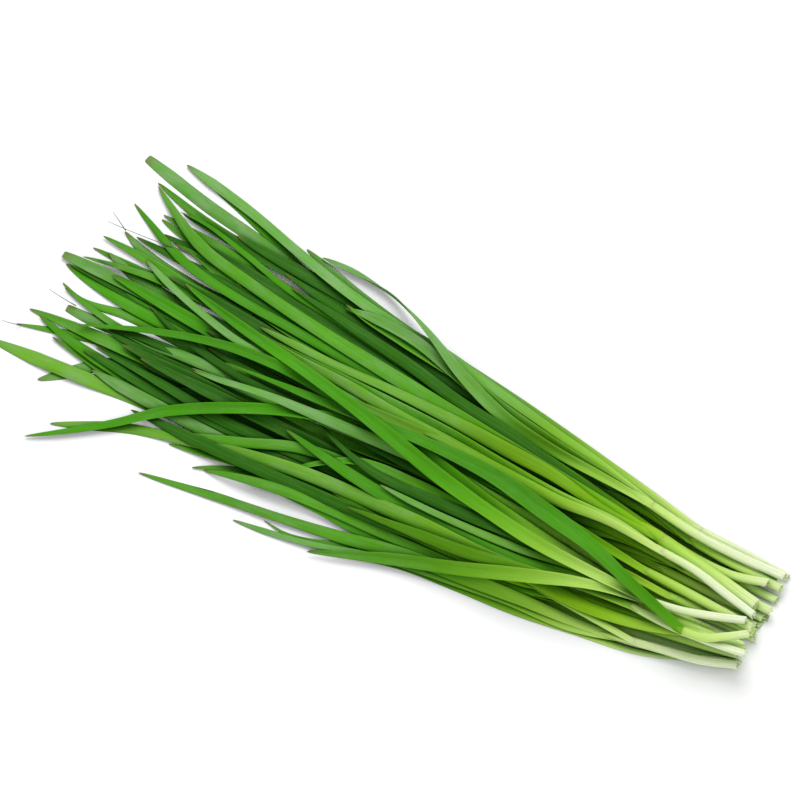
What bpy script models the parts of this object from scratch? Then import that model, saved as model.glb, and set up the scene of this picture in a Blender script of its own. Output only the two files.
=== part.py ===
# A bunch of garlic chives lying on a table: cut shoots in a fan, each a pale stem with its flat leaves.
import math
import random

import bmesh
import bpy
import numpy as np

MM = 0.001

# Sizes in millimetres
LEAF_THICK = 0.8        # at the midrib, along the middle of a leaf
LEAF_ENDS_THICK = 0.62  # at its root and its tip
LEAF_FOLD = 0.07        # how far the edges stand above the midrib, as a share of the width
LEAF_ROOT = 0.6         # width where a leaf leaves its stem, as a share of the full width
LEAF_SPREAD = 70.0      # distance from the root at which a seen leaf has its full width
HIDDEN_SPREAD = 170.0   # the same for the leaves under the others, which come out at the tips
LEAF_SLIM = 0.28        # how much narrower a seen leaf gets over its outer half, as a share of the width
SLIM_FROM = 0.4         # where that starts and ends, as shares of the length
SLIM_TO = 0.9
LEAF_TAPER = 40.0       # distance over which a leaf narrows to its tip
LEAF_OGIVE = 0.55       # how full the narrowing is: 1 is a straight taper
TIP_STEP = 8.0          # distance from the tip to the section before it
TIP_WIDTH = 0.9
CUT_TIP = 0.55          # width left at a tip that is cut square, as a share of the full width
LEAF_STEP = 24.0        # length between two sections of a leaf
ROOT_STACK = 0.7        # height from one leaf to the next where they leave the stem
ROOT_AHEAD = 12.0       # a leaf whose first place is far off goes on this far as its stem points
ROOT_FAR = 30.0         # how far off that is
TWIST_AT = 0.78         # where a twisted leaf has its twist, as a share of the length, and how wide it is
TWIST_SPAN = 0.1
STEM_FLAT = 0.66        # thickness of a stem, as a share of its width
STEM_SHARES = (0.94, 1.0, 1.0, 0.96, 0.7)  # its width at its stations, as shares of the widest
NECK_FLAT = 0.42        # thickness at the end of the neck, as a share of the stem's width
STEM_CORNER = 0.42      # where the corners of its section lie, as a share of its half width and thickness
NECK_LENGTH = 13.0      # green neck above the stem's mouth, which the leaves grow out of
SHORT_NECK = 4.0        # the same where the leaves bend away sharply
ROOT_SINK = 1.2         # how far past the mouth a leaf's first section lies, inside the neck
GAP = 0.3               # clear space kept between two pieces
SEAT = 0.02             # a stem this close to the table is set exactly on it
MOUTH = 3               # the station of a stem that its leaves leave it at
OWN_CLEAR = 16.0        # distance from the mouth past which a shoot's leaves lie on one another

# How far a leaf or a stem reaches before it sags under its own weight
LEAF_REACH = 32.0
STEM_REACH = 65.0
STEM_LOAD = 3.0         # weight of a stem's length, in that of a leaf's

# How far a strand may settle sideways into a lower place: hidden leaves, hidden stems, and seen strands
SLACK_LEAF = 5.0
SLACK_STEM = 1.8
SLACK_SEEN = 1.4
SIDE_COST = 0.05        # height that a strand has to gain for each unit that it moves sideways

# The places below are as seen from in front and 62 degrees above the table.
# A point that lies one unit above the table is seen shifted by this much along and across the bunch.
SIGHT = np.array([0.254, -0.468])

# The height map of what is already laid: its corner, its size and its cell
MAP_CORNER = np.array([-20.0, -90.0])
MAP_SIZE = (360.0, 190.0)
CELL = 0.35

# How a leaf rolls with what it lies on: how far out it feels, and the share of the slope that it takes
FEEL_WIDTH = 3.0
FEEL_SHARE = 0.55
ROLL_SHARE = 0.9
SECOND_ROLL = 0.6
MAX_ROLL = math.radians(34)
SEED = 5


def leaf(width, *points, tip="point", twist=0.0, after=None):
    """A leaf: width, places it passes from root to tip, and the shoot it lies over, if not just its own."""
    return {"width": width, "points": points, "tip": tip, "twist": twist, "after": after}


def shoot(name, width, stem, *leaves, spare=0, pale=False, neck=NECK_LENGTH):
    """A shoot: its stem from cut end to mouth, its leaves from the lowest up, and how many spare ones."""
    hidden = name.startswith(("low_", "mid_"))
    return {"name": name, "width": width, "stem": stem, "leaves": leaves, "spare": spare, "pale": pale,
            "neck": neck, "hidden": hidden}


# From the lowest shoot to the highest. x runs from the cut ends to the tips, y across the bunch.
SHOOTS = (
    shoot("far_edge", 3.6, ((-1, -19.5), (20, -20.7), (38, -21.3)),
          leaf(6.0, (80, -25), (160, -35), (235, -42), (255, -43.7), (275, -48), (294.5, -54)),
          leaf(4.5, (60, -25), (120, -35), (180, -44), (230, -51.5), (250, -58.8), (272, -64)),
          leaf(5.0, (57, -24.5), (90, -30), (150, -40), (190, -45.7), (210, -50.8), (229.5, -57)), pale=True),
    shoot("low_a", 3.9, ((1, -15), (20, -15.8), (42, -17.5)),
          leaf(5.4, (90, -18), (180, -30), (262, -38.5), (277, -40), (285, -41.7)),
          leaf(5.4, (80, -20), (150, -32), (210, -43.5), (240, -50.3), (270, -55.3), (303, -62.8), tip="cut"),
          leaf(4.9, (100, -21), (200, -36), (260, -43.5), (285, -46.2)),
          leaf(4.3, (80, -15), (160, -18), (230, -21), (246, -22.5), (265, -22.8), (283, -25.5),
               (295, -30.3))),
    shoot("low_b", 4.0, ((-2, -10.4), (20, -11), (44, -12.4)),
          leaf(4.1, (90, -14), (180, -18), (270, -22), (290, -23.3), (301.7, -23.8)),
          leaf(4.5, (150, -20), (230, -28.5), (250, -32), (275.5, -35)),
          leaf(4.9, (120, -12), (200, -13), (268, -14.5), (282, -16.3), (295.5, -20)),
          leaf(3.9, (130, -15), (220, -21), (275, -22), (290, -19.8), (304.3, -17.3))),
    shoot("low_c", 3.8, ((2, -5.8), (20, -6.2), (44, -7)),
          leaf(5.4, (120, -8), (250, -10), (270, -11), (290, -11.7), (303, -12.6)),
          leaf(4.6, (120, -4), (250, -7), (280, -9.3), (311, -9.8), tip="cut"),
          leaf(4.5, (120, -10), (200, -20), (250, -25), (270.5, -26)), spare=1),
    shoot("low_d", 4.0, ((-1, -1.2), (20, -1.3), (45, -1.5)),
          leaf(4.1, (120, 2), (200, 3), (260, 2), (275, 1.3), (290, 5.5), (297, 3.8), (305.3, 0.8)),
          leaf(6.9, (120, -2), (250, -2.5), (272, -3.3), (292, -4.8), (306.5, -7.3)),
          leaf(5.1, (120, -5), (200, -9), (250, -13), (289.5, -16)), spare=1),
    shoot("low_e", 3.8, ((0, 3.4), (20, 3.7), (43, 4.2)),
          leaf(4.1, (120, 5), (235, 7.5), (265, 13.5), (290, 18.5), (311.7, 25.3)),
          leaf(5.1, (120, 8), (240, 14), (265, 16), (290, 15.7), (311, 17)),
          leaf(4.9, (120, 5), (200, 6), (260, 8), (285, 10), (297.7, 9.8), tip="cut"), spare=1),
    shoot("low_f", 4.0, ((-2, 8), (20, 8.7), (44, 10)),
          leaf(5.1, (120, 12), (200, 12), (255, 15), (270, 19.5), (283, 31.5), (294, 42.3)),
          leaf(5.4, (120, 17), (180, 24), (235, 27.5), (265, 25.3), (285, 23), (306.5, 17.3)),
          leaf(4.9, (120, 10), (200, 13), (238, 16), (253.7, 21.7)), spare=1),
    shoot("low_g", 3.9, ((2, 12.8), (20, 14), (43, 16.5)),
          leaf(5.9, (120, 24), (200, 29), (240, 31.5), (270, 33.2), (300, 35.2), (317, 36)),
          leaf(5.1, (120, 26), (190, 31), (230, 32.5), (250, 31), (277, 28.6)),
          leaf(4.3, (120, 30), (192, 38), (210, 42), (222.7, 47.8)), spare=1),
    shoot("near_edge", 3.4, ((-2, 22.4), (5, 24.8), (12, 27.6)),
          leaf(5.5, (25, 28.8), (45, 29.3), (80, 31.5), (130, 34.5), (160, 36.5), (196, 38.5)),
          leaf(4.5, (25, 32.5), (40, 37.5), (60, 39.5), (80, 42.3), (110, 44.7), (130, 46.5),
               (150, 52), (166, 58)),
          leaf(3.0, (25, 31), (45, 34), (80, 37), (135, 42), (155, 49.5), (168, 56), (187.3, 54.8)),
          pale=True),
    shoot("low_h", 3.9, ((0, 18.6), (20, 22.4), (42, 25.8)),
          leaf(4.5, (100, 31), (180, 31), (200, 35.3), (220, 39.8), (235.5, 43)),
          leaf(5.4, (120, 32), (150, 35.5), (180, 34.5), (205.7, 37.3)),
          leaf(4.5, (80, 32), (120, 35.5), (150, 38), (180, 39.6), (218, 45.3)), spare=1),
    shoot("mid_a", 3.8, ((-1, -14), (20, -14.5), (40, -16)), spare=4),
    shoot("mid_c", 3.8, ((-2, -3.5), (20, -3.5), (38, -4)), spare=4),
    shoot("mid_e", 3.8, ((-1, 6.5), (20, 7), (36, 8)), spare=4),
    shoot("far_white", 3.8, ((0, -17.5), (20, -17), (40, -17.8), (60, -20.8)),
          leaf(6.0, (84, -27), (120, -33.5), (160, -40.5), (190, -43.5), (230, -52.5), (266, -62),
               (288.3, -66)),
          leaf(6.0, (80, -22), (100, -25.5), (140, -33), (165, -39), (185, -42), (203.8, -41.4)),
          leaf(5.0, (80, -21), (110, -25), (138, -30), (155, -36.5), (185, -49.8), (200, -55),
               (223, -56.7), twist=70), pale=True),
    shoot("far_green", 3.9, ((5, -15), (10, -13.5), (20, -12.4), (30, -12.8), (46, -15.2)),
          leaf(3.6, (100, -20), (160, -28), (205, -35.3), (225, -37.3), (245, -42), (259, -47.5), (280, -48)),
          leaf(5.5, (90, -18.8), (130, -25), (170, -32), (210, -38.3), (226, -40.2)), spare=1),
    shoot("near_white", 3.7, ((-1, 21.5), (10, 26), (25, 29.3), (38, 31.8)),
          leaf(3.8, (52, 37.2), (70, 39.6), (90, 41), (120, 45), (150, 51), (170, 57.5), (198, 60.8)),
          leaf(5.5, (60, 34.2), (80, 35.5), (110, 38.8), (140, 43.5), (170, 49.8), (200, 54), (239.3, 59.7)),
          leaf(4.5, (50, 31.4), (70, 30), (100, 28.6), (140, 26.5), (175, 27)), pale=True),
    shoot("near_olive", 4.0, ((0, 14), (26, 14.5), (42, 16)),
          leaf(5.5, (80, 20), (120, 21.5), (150, 18), (180, 17), (200, 22.5), (220, 31.3), (244, 39.3)),
          leaf(4.5, (100, 14), (150, 12), (176, 18), (186, 26), (194.7, 35.7)), spare=1),
    shoot("near_grey", 3.8, ((0, 17), (12, 17.5), (44, 17.5)),
          leaf(6.5, (60, 15.5), (80, 19), (100, 23), (120, 24.2), (150, 21.8), (180, 18), (198.3, 14.6)),
          leaf(3.6, (70, 15.5), (100, 18), (130, 20), (155, 19.5))),
    shoot("near_light", 3.8, ((-1, 17.5), (8, 18.5), (18, 20)),
          leaf(5.0, (40, 23), (60, 24), (85, 30), (120, 33), (150, 33), (172, 31.5)),
          leaf(6.0, (30, 23.5), (50, 27.4), (66, 27.3), (80, 26.2), (120, 26.8), (160, 26.7),
               (190, 30), (220, 36.3), (250, 44), (279.5, 57.2))),
    shoot("near_tall", 3.3, ((-2, 19), (10, 20.5), (28, 22), (46, 21.4)),
          leaf(5.0, (62, 15), (85, 11.8), (110, 13.7), (150, 15.2), (170, 13.8), (190, 5.8)),
          leaf(5.0, (60, 22), (80, 24), (110, 30), (140, 32), (162, 34)), spare=1, pale=True),
    shoot("far_pale", 5.0, ((4, -4.3), (20, -7), (40, -10.5), (49, -12.2)),
          leaf(5.5, (100, -16), (150, -20), (200, -23), (230, -24.7), (250, -26.2), (270, -30), (298, -43)),
          leaf(6.2, (70, -14), (100, -16.5), (130, -20.3), (160, -23.7), (200, -28.5), (240, -34.4),
               (270, -41.5), (292.5, -55)),
          leaf(5.5, (70, -11.5), (100, -15), (130, -18), (160, -18.7), (200, -19), (229, -19.5))),
    shoot("middle_white", 3.6, ((3, 1), (10, 0), (20, -2.8), (30, -4.9), (47, -6.3)),
          leaf(5.0, (120, -9), (180, -8), (235, -8), (250, -11.3), (268, -16.5), (282.5, -22)),
          leaf(4.8, (80, -10.5), (100, -11.8), (130, -13.2), (160, -14), (200, -15), (222, -17.2)),
          leaf(5.0, (60, -6.3), (90, -7.2), (120, -8.3), (150, -8.5), (180, -10), (215, -12), (243, -16)),
          pale=True),
    shoot("middle_olive", 3.9, ((2, 3), (20, 3), (48, 2.6)),
          leaf(4.5, (100, 0), (170, 3), (215, 6.3), (238, 4), (255, 1), (271.3, -5)),
          leaf(4.0, (120, 4), (180, 7), (200, 9), (243.3, 11.2)),
          leaf(5.5, (90, 3), (140, 0.5), (180, 4), (210, 13), (240, 29), (253, 40), (265, 51.5),
               (287.5, 67.7))),
    shoot("top_white", 3.5, ((5, 3.3), (15, 7), (25, 10.3), (33, 12.2), (41, 13.4)),
          leaf(5.5, (56, 9), (80, 4.2), (105, 3), (145, 1.5), (180, 3), (210, 4.5), (242.5, 9.3)),
          leaf(5.0, (60, 13), (100, 10.5), (150, 2), (190, -4.6), (215, -5.7), (235, -3.8), (265, 4.7),
               (290.5, 15.3)),
          leaf(6.0, (60, 17), (80, 23.7), (100, 30.2), (120, 38.3), (140, 46), (167, 57.5)),
          leaf(6.0, (60, 15.7), (90, 15), (130, 8.8), (170, -1), (210, -9.2), (250, -16.5), (264, -20),
               after="top_olive"), pale=True),
    shoot("top_olive", 3.5, ((2, 8), (8, 12.6), (14, 16.6), (19, 18.7), (24, 18.8)),
          leaf(5.0, (36, 16.5), (52, 11.5), (70, 7), (100, 0.5), (130, -3.5), (146, -3.8)),
          leaf(7.0, (36, 17), (52, 12), (70, 7.5), (100, 1), (120, -2.5), (150, -2.8), (180, -0.5),
               (228.5, 2.7)),
          neck=SHORT_NECK),
)

# A leaf that lies over a later shoot is laid in two goes, and the second starts this far along the bunch
LIFT_FROM = 90.0

# Spare leaves keep to a lane of the fan, whose far and near edges open out along the bunch
FAN_X = (40.0, 100.0, 150.0, 200.0, 260.0)
FAN_FAR = (-19.0, -27.0, -35.0, -45.0, -50.0)
FAN_NEAR = (25.0, 36.0, 42.0, 46.0, 44.0)
SPARE_LENGTH = (185.0, 250.0)
SPARE_WIDTH = (4.2, 5.6)
SPARE_LANE = (0.07, 0.93)
SPARE_STRAY = 0.22
SPARE_WAVER = 2.0

# How stiffly the settling holds a fixed place, and how hard it pushes a strand off what lies under it
HOLD = 1e7
PUSH = 2e4
NO_NEED = -99.0

# The settling goes on until its contacts no longer change, between these numbers of goes
GOES = (12, 60)
EASE = 0.7              # share of each go's change that is taken

COLOURS = {
    "stem": (0.72, 0.80, 0.50),
    "stem_olive": (0.50, 0.60, 0.22),
    "leaf": (0.09, 0.32, 0.035),
    "leaf_light": (0.16, 0.42, 0.08),
}


def clear_scene():
    for item in list(bpy.data.objects):
        bpy.data.objects.remove(item, do_unlink=True)


def new_collection(name):
    group = bpy.data.collections.new(name)
    bpy.context.scene.collection.children.link(group)
    return group


def new_material(name):
    material = bpy.data.materials.new(name)
    material.use_nodes = True
    shader = material.node_tree.nodes["Principled BSDF"]
    shader.inputs["Base Color"].default_value = (*COLOURS[name], 1.0)
    shader.inputs["Roughness"].default_value = 0.45 if name.startswith("leaf") else 0.35
    shader.inputs["Metallic"].default_value = 0.0
    return material


# Runs and sections

def smooth_run(points, shares):
    """Places at the given shares of the length of a smooth curve through the points."""
    knots = np.array(points, float)
    spans = np.hypot(*np.diff(knots, axis=0).T)
    along = np.concatenate([[0.0], np.cumsum(spans)])
    slopes = np.gradient(knots, along, axis=0)
    fine = np.linspace(0.0, along[-1], 400)
    index = np.clip(np.searchsorted(along, fine, side="right") - 1, 0, len(spans) - 1)
    step = spans[index][:, None]
    t = (fine[:, None] - along[index][:, None]) / step
    curve = ((2 * t**3 - 3 * t**2 + 1) * knots[index] + (t**3 - 2 * t**2 + t) * step * slopes[index]
             + (3 * t**2 - 2 * t**3) * knots[index + 1] + (t**3 - t**2) * step * slopes[index + 1])
    walked = np.concatenate([[0.0], np.cumsum(np.hypot(*np.diff(curve, axis=0).T))])
    return np.column_stack([np.interp(shares * walked[-1], walked, curve[:, axis]) for axis in range(2)])


def smooth_step(shares):
    ease = np.clip(shares, 0.0, 1.0)
    return ease * ease * (3 - 2 * ease)


def run_length(places):
    return float(np.hypot(*np.diff(np.array(places, float), axis=0).T).sum())


def leaf_section(width, thick):
    """Over and under lines of a folded leaf, from one edge to the other, as (across, up)."""
    lift = LEAF_FOLD * width
    over = ((-width / 2, lift), (0.0, thick / 2), (width / 2, lift))
    under = ((-width / 2, lift), (0.0, -thick / 2), (width / 2, lift))
    return over, under


def stem_section(width, thick):
    """Over and under lines of an eight-sided stem with a flat underside."""
    outer, side = width / 2, STEM_CORNER * thick / 2
    inner = STEM_CORNER * width / 2
    over = ((-outer, side), (-inner, thick / 2), (inner, thick / 2), (outer, side))
    under = ((-outer, -side), (-inner, -thick / 2), (inner, -thick / 2), (outer, -side))
    return over, under


class Strand:
    """A stem or a leaf: places seen from the front, with a section, a roll and a height at each of them."""

    def __init__(self, seen, widths, thicks, section):
        self.seen = np.array(seen, float)
        self.plan = self.seen.copy()
        self.sections = [section(width, thick) for width, thick in zip(widths, thicks)]
        self.widths = np.array(widths, float)
        self.roll = np.zeros(len(self.seen))
        self.twist = np.zeros(len(self.seen))
        self.height = np.zeros(len(self.seen))

    def sides(self):
        ahead = np.gradient(self.plan, axis=0)
        ahead /= np.hypot(ahead[:, 0], ahead[:, 1])[:, None]
        return np.column_stack([-ahead[:, 1], ahead[:, 0]])

    def lines(self, which):
        """The over (0) or under (1) line of each section in space, with the height left out."""
        shape = np.array([pair[which] for pair in self.sections])
        turn, lean = np.cos(self.roll)[:, None], np.sin(self.roll)[:, None]
        across = shape[:, :, 0] * turn - shape[:, :, 1] * lean
        up = shape[:, :, 0] * lean + shape[:, :, 1] * turn
        flat = self.plan[:, None, :] + self.sides()[:, None, :] * across[:, :, None]
        return np.concatenate([flat, up[:, :, None]], axis=2)

    def facets(self, which):
        """Points all over the over or under faces, split as the mesh is: place, height offset and share."""
        lines = self.lines(which)
        width = np.abs(np.diff(lines[:, :, :2], axis=1)).sum(axis=2).max()
        length = np.hypot(*np.diff(self.plan, axis=0).T).max()
        t = np.linspace(0.0, 1.0, max(3, int(length / (0.8 * CELL))))[None, :, None, None]
        u = np.linspace(0.0, 1.0, max(3, int(width / (0.8 * CELL))))[None, None, :, None]
        pieces = []
        middle = (lines.shape[1] - 1) / 2
        for part in range(lines.shape[1] - 1):
            inner, outer = (part + 1, part) if part < middle else (part, part + 1)
            near, far = lines[:-1, None, None, inner], lines[1:, None, None, inner]
            near_edge, far_edge = lines[:-1, None, None, outer], lines[1:, None, None, outer]
            first = near + t * (far - near) + u * (near_edge - near)
            second = far_edge + (1 - t) * (near_edge - far_edge) + (1 - u) * (far - far_edge)
            pieces.append(np.where(t + u <= 1.0, first, second))
        return np.concatenate(pieces, axis=2), t[0, :, 0, 0]

    def rise(self, share):
        return self.height[:-1, None] * (1 - share) + self.height[1:, None] * share


# The heap

class Heap:
    """Height of what is laid so far, on a grid over the table."""

    def __init__(self):
        self.shape = tuple(int(size / CELL) for size in MAP_SIZE)
        self.top = np.full(self.shape, -GAP)
        self.wide = self.top.copy()

    def cells(self, places):
        cell = ((places - MAP_CORNER) / CELL).astype(int)
        return np.clip(cell[..., 0], 0, self.shape[0] - 1), np.clip(cell[..., 1], 0, self.shape[1] - 1)

    def add(self, strand, keep=None):
        """Lays a strand on the grid. keep is a test of the places that count."""
        points, share = strand.facets(0)
        heights = points[..., 2] + strand.rise(share)[:, :, None]
        places = points[..., :2]
        if keep is not None:
            chosen = keep(places)
            places, heights = places[chosen], heights[chosen]
        cells = self.cells(places)
        np.maximum.at(self.top, cells, heights)
        self.widen(*(slice(max(cell.min() - 2, 0), cell.max() + 3) for cell in cells))

    def widen(self, rows, columns):
        """Spreads the heights there by one cell each way, so that no strand slips in beside another."""
        wide = self.top[rows, columns].copy()
        for axis in (0, 1):
            base = wide.copy()
            for way in (-1, 1):
                wide = np.maximum(wide, np.roll(base, way, axis=axis))
        self.wide[rows, columns][1:-1, 1:-1] = wide[1:-1, 1:-1]

    def at(self, places):
        return self.wide[self.cells(places)]

    def copy(self):
        other = Heap()
        other.top = self.top.copy()
        other.wide = self.wide.copy()
        return other

    def needs(self, strand, keep=None):
        """The least height of a strand's line at each share of each step, to lie clear of the heap."""
        points, share = strand.facets(1)
        level = self.at(points[..., :2]) + GAP - points[..., 2]
        if keep is not None:
            level = np.where(keep(points[..., :2]), level, NO_NEED)
        return level.max(axis=2), share


def settle(count, bends, contacts, holds, loads):
    """Heights of least energy for bending strips that lie on contacts under their own weight."""
    stiff = np.array([row for row, _ in bends])
    target = np.array([value for _, value in bends])
    first, second, share, least = (np.concatenate(column) for column in zip(*contacts))
    base = stiff.T @ stiff + 1e-6 * np.eye(count)
    pull = stiff.T @ target - loads
    for index, value in holds:
        base[index, index] += HOLD
        pull[index] += HOLD * value
    heights = np.full(count, least.max())
    active = np.ones(len(least), bool)
    for go in range(GOES[1]):
        a, b, far, level = (column[active] for column in (first, second, share, least))
        near = 1 - far
        pairs = ((a, a, near * near), (a, b, near * far), (b, a, near * far), (b, b, far * far))
        grip = sum(np.bincount(one * count + other, weight, count * count) for one, other, weight in pairs)
        lift = np.bincount(a, near * level, count) + np.bincount(b, far * level, count)
        solved = np.linalg.solve(base + PUSH * grip.reshape(count, count), pull + PUSH * lift)
        heights = solved if go == 0 else heights + EASE * (solved - heights)
        now = least > (1 - share) * heights[first] + share * heights[second]
        if go > GOES[0] and (now == active).all():
            break
        active = now
    for _ in range(3):
        reached = (1 - share) * heights[first] + share * heights[second]
        for index in np.nonzero(least - reached > 0)[0]:
            a, b, far = first[index], second[index], share[index]
            lift = least[index] - (1 - far) * heights[a] - far * heights[b]
            if lift > 0:
                heights[[a, b]] += lift
    return heights


def bend_row(count, indexes, offsets, steps, reach):
    """One row of bending energy at the middle of three stations."""
    before, after = steps
    weights = (1 / before, -1 / before - 1 / after, 1 / after)
    scale = math.sqrt(reach**3 / ((before + after) / 2))
    row = np.zeros(count)
    value = 0.0
    for index, offset, weight in zip(indexes, offsets, weights):
        row[index] += weight * scale
        value -= weight * scale * offset
    return row, value


def contact_rows(indexes, offset, need, share):
    """What a strand's steps, the first raised by offset, have to stay above: stations, share and level."""
    steps, samples = need.shape
    level = need.copy()
    level[0] -= offset * (1 - share)
    return (np.repeat(indexes[:-1], samples), np.repeat(indexes[1:], samples), np.tile(share, steps),
            level.ravel())


def steps_of(strand):
    return np.hypot(*np.diff(strand.plan, axis=0).T)


def far_from(place, reach):
    """A test that is true for places further than reach from a place."""
    def test(places):
        return np.hypot(places[..., 0] - place[0], places[..., 1] - place[1]) > reach
    return test


# Laying a shoot

def make_strands(spec, draw):
    width = spec["width"]
    stem_run = smooth_run(spec["stem"], np.linspace(0.0, 1.0, 4))
    ahead = stem_run[-1] - stem_run[-2]
    ahead /= np.hypot(*ahead)
    stem_run = np.vstack([stem_run, stem_run[-1] + ahead * spec["neck"]])
    widths = [width * share for share in STEM_SHARES]
    thicks = [one * STEM_FLAT for one in widths[:-1]] + [width * NECK_FLAT]
    stem = Strand(stem_run, widths, thicks, stem_section)
    mouth = stem_run[MOUTH]
    spares = [spare_leaf(mouth, draw) for _ in range(spec["spare"])]
    leaves = [leaf_strand(one, mouth, ahead, HIDDEN_SPREAD) for one in spares]
    spread = HIDDEN_SPREAD if spec["hidden"] else LEAF_SPREAD
    leaves += [leaf_strand(one, mouth, ahead, spread) for one in spec["leaves"]]
    for strand in leaves:
        swing, phase = math.radians(draw.uniform(2, 8)), draw.uniform(0, 2 * math.pi)
        count = len(strand.seen)
        ease = np.clip(np.arange(count) / 2.0, 0.0, 1.0)
        strand.twist += ease * swing * np.sin(phase + 2.6 * np.arange(count) / count * math.pi)
    return stem, leaves


def spare_leaf(root, draw):
    """A leaf in a lane of the fan, near its stem's own side."""
    length = draw.uniform(*SPARE_LENGTH)
    lane = (root[1] - FAN_FAR[0]) / (FAN_NEAR[0] - FAN_FAR[0])
    lane = min(SPARE_LANE[1], max(SPARE_LANE[0], lane + draw.uniform(-SPARE_STRAY, SPARE_STRAY)))
    points = []
    for share in (0.35, 0.7, 1.0):
        x = root[0] + length * share
        far, near = np.interp(x, FAN_X, FAN_FAR), np.interp(x, FAN_X, FAN_NEAR)
        points.append((x, far + (near - far) * lane + draw.uniform(-SPARE_WAVER, SPARE_WAVER)))
    return leaf(draw.uniform(*SPARE_WIDTH), *points)


def leaf_strand(one, root, ahead, spread):
    first = np.array(one["points"][0], float)
    places = [tuple(root)]
    if np.hypot(*(first - root)) > ROOT_FAR:
        places.append(tuple(root + ahead * ROOT_AHEAD))
    places += one["points"]
    length = run_length(places)
    count = max(4, round((length - TIP_STEP) / LEAF_STEP))
    walked = np.append(np.linspace(0.0, length - TIP_STEP, count + 1), length)
    run = smooth_run(places, walked / length)
    left = length - walked
    full = one["width"] * (LEAF_ROOT + (1 - LEAF_ROOT) * smooth_step(walked / spread))
    if spread < HIDDEN_SPREAD:
        full = full * (1 - LEAF_SLIM * smooth_step((walked / length - SLIM_FROM) / (SLIM_TO - SLIM_FROM)))
    taper = np.clip(left / LEAF_TAPER, 0.0, 1.0) ** LEAF_OGIVE
    if one["tip"] == "cut":
        taper = CUT_TIP + (1 - CUT_TIP) * taper
    widths = np.maximum(full * taper, TIP_WIDTH)
    thicks = np.interp(walked / length, (0.0, 0.2, 0.85, 1.0),
                       (LEAF_ENDS_THICK, LEAF_THICK, LEAF_THICK, LEAF_ENDS_THICK))
    strand = Strand(run, widths, thicks, leaf_section)
    if one["twist"]:
        strand.twist += math.radians(one["twist"]) * np.exp(-((walked / length - TWIST_AT) / TWIST_SPAN) ** 2)
    strand.after = one["after"]
    return strand


def ease_sideways(strand, heap, slack, rooted):
    """Moves a strand sideways to where it lies lowest. A rooted one keeps its first station."""
    free = np.clip(np.arange(len(strand.seen)) / 2.0, 0.0, 1.0) if rooted else np.ones(len(strand.seen))
    base, sides = strand.plan.copy(), strand.sides()
    best = None
    for offset in np.linspace(-slack, slack, 9):
        strand.plan = base + sides * (offset * free)[:, None]
        level = heap.needs(strand)[0].mean() + SIDE_COST * abs(offset)
        if best is None or level < best[0]:
            best = (level, offset)
    strand.plan = base
    strand.seen = strand.seen + sides * (best[1] * free)[:, None]
    return sides[-1] * best[1]


def follow_heap(strand, heap):
    """Rolls a leaf with the slope of what it lies on, and adds its own twist."""
    sides = strand.sides()
    reach = np.maximum(strand.widths, FEEL_WIDTH)[:, None] * FEEL_SHARE
    left = heap.at(strand.plan + sides * reach)
    right = heap.at(strand.plan - sides * reach)
    slope = np.arctan2(left - right, 2 * reach[:, 0])
    padded = np.pad(slope, 1, mode="edge")
    slope = 0.25 * padded[:-2] + 0.5 * padded[1:-1] + 0.25 * padded[2:]
    roll = np.clip(ROLL_SHARE * slope, -MAX_ROLL, MAX_ROLL) + strand.twist
    roll[0] = 0.0
    roll[1] *= SECOND_ROLL
    strand.roll = roll


def settle_shoot(stem, leaves, heap):
    """Stem and leaves together, each leaf joined to the stem's mouth."""
    offsets = root_offsets(len(leaves))
    count = len(stem.seen)
    indexes = []
    for strand in leaves:
        indexes.append([MOUTH] + list(range(count, count + len(strand.seen) - 1)))
        count += len(strand.seen) - 1
    bends, contacts = [], []
    loads = np.zeros(count)
    stem_steps = steps_of(stem)
    own = list(range(len(stem.seen)))
    for middle in range(1, len(own) - 1):
        pair = stem_steps[middle - 1], stem_steps[middle]
        bends.append(bend_row(count, own[middle - 1:middle + 2], (0, 0, 0), pair, STEM_REACH))
    np.add.at(loads, own[:-1], STEM_LOAD * stem_steps / 2)
    np.add.at(loads, own[1:], STEM_LOAD * stem_steps / 2)
    need, share = heap.needs(stem)
    contacts.append(contact_rows(own, 0.0, need, share))
    for strand, index, offset in zip(leaves, indexes, offsets):
        steps = steps_of(strand)
        joint = [MOUTH - 1, MOUTH, index[1]]
        bends.append(bend_row(count, joint, (0, 0, -offset), (stem_steps[MOUTH - 1], steps[0]), LEAF_REACH))
        for middle in range(1, len(index) - 1):
            lift = (offset if middle == 1 else 0, 0, 0)
            bends.append(bend_row(count, index[middle - 1:middle + 2], lift, steps[middle - 1:middle + 1],
                                  LEAF_REACH))
        np.add.at(loads, index[:-1], steps / 2)
        np.add.at(loads, index[1:], steps / 2)
        need, share = heap.needs(strand)
        contacts.append(contact_rows(index, offset, need, share))
    heights = settle(count, bends, contacts, [], loads)
    stem.height = heights[:len(stem.seen)]
    for strand, index, offset in zip(leaves, indexes, offsets):
        strand.height = heights[index]
        strand.height[0] += offset


def root_offsets(count):
    return [(place - (count - 1) / 2) * ROOT_STACK for place in range(count)]


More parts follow.
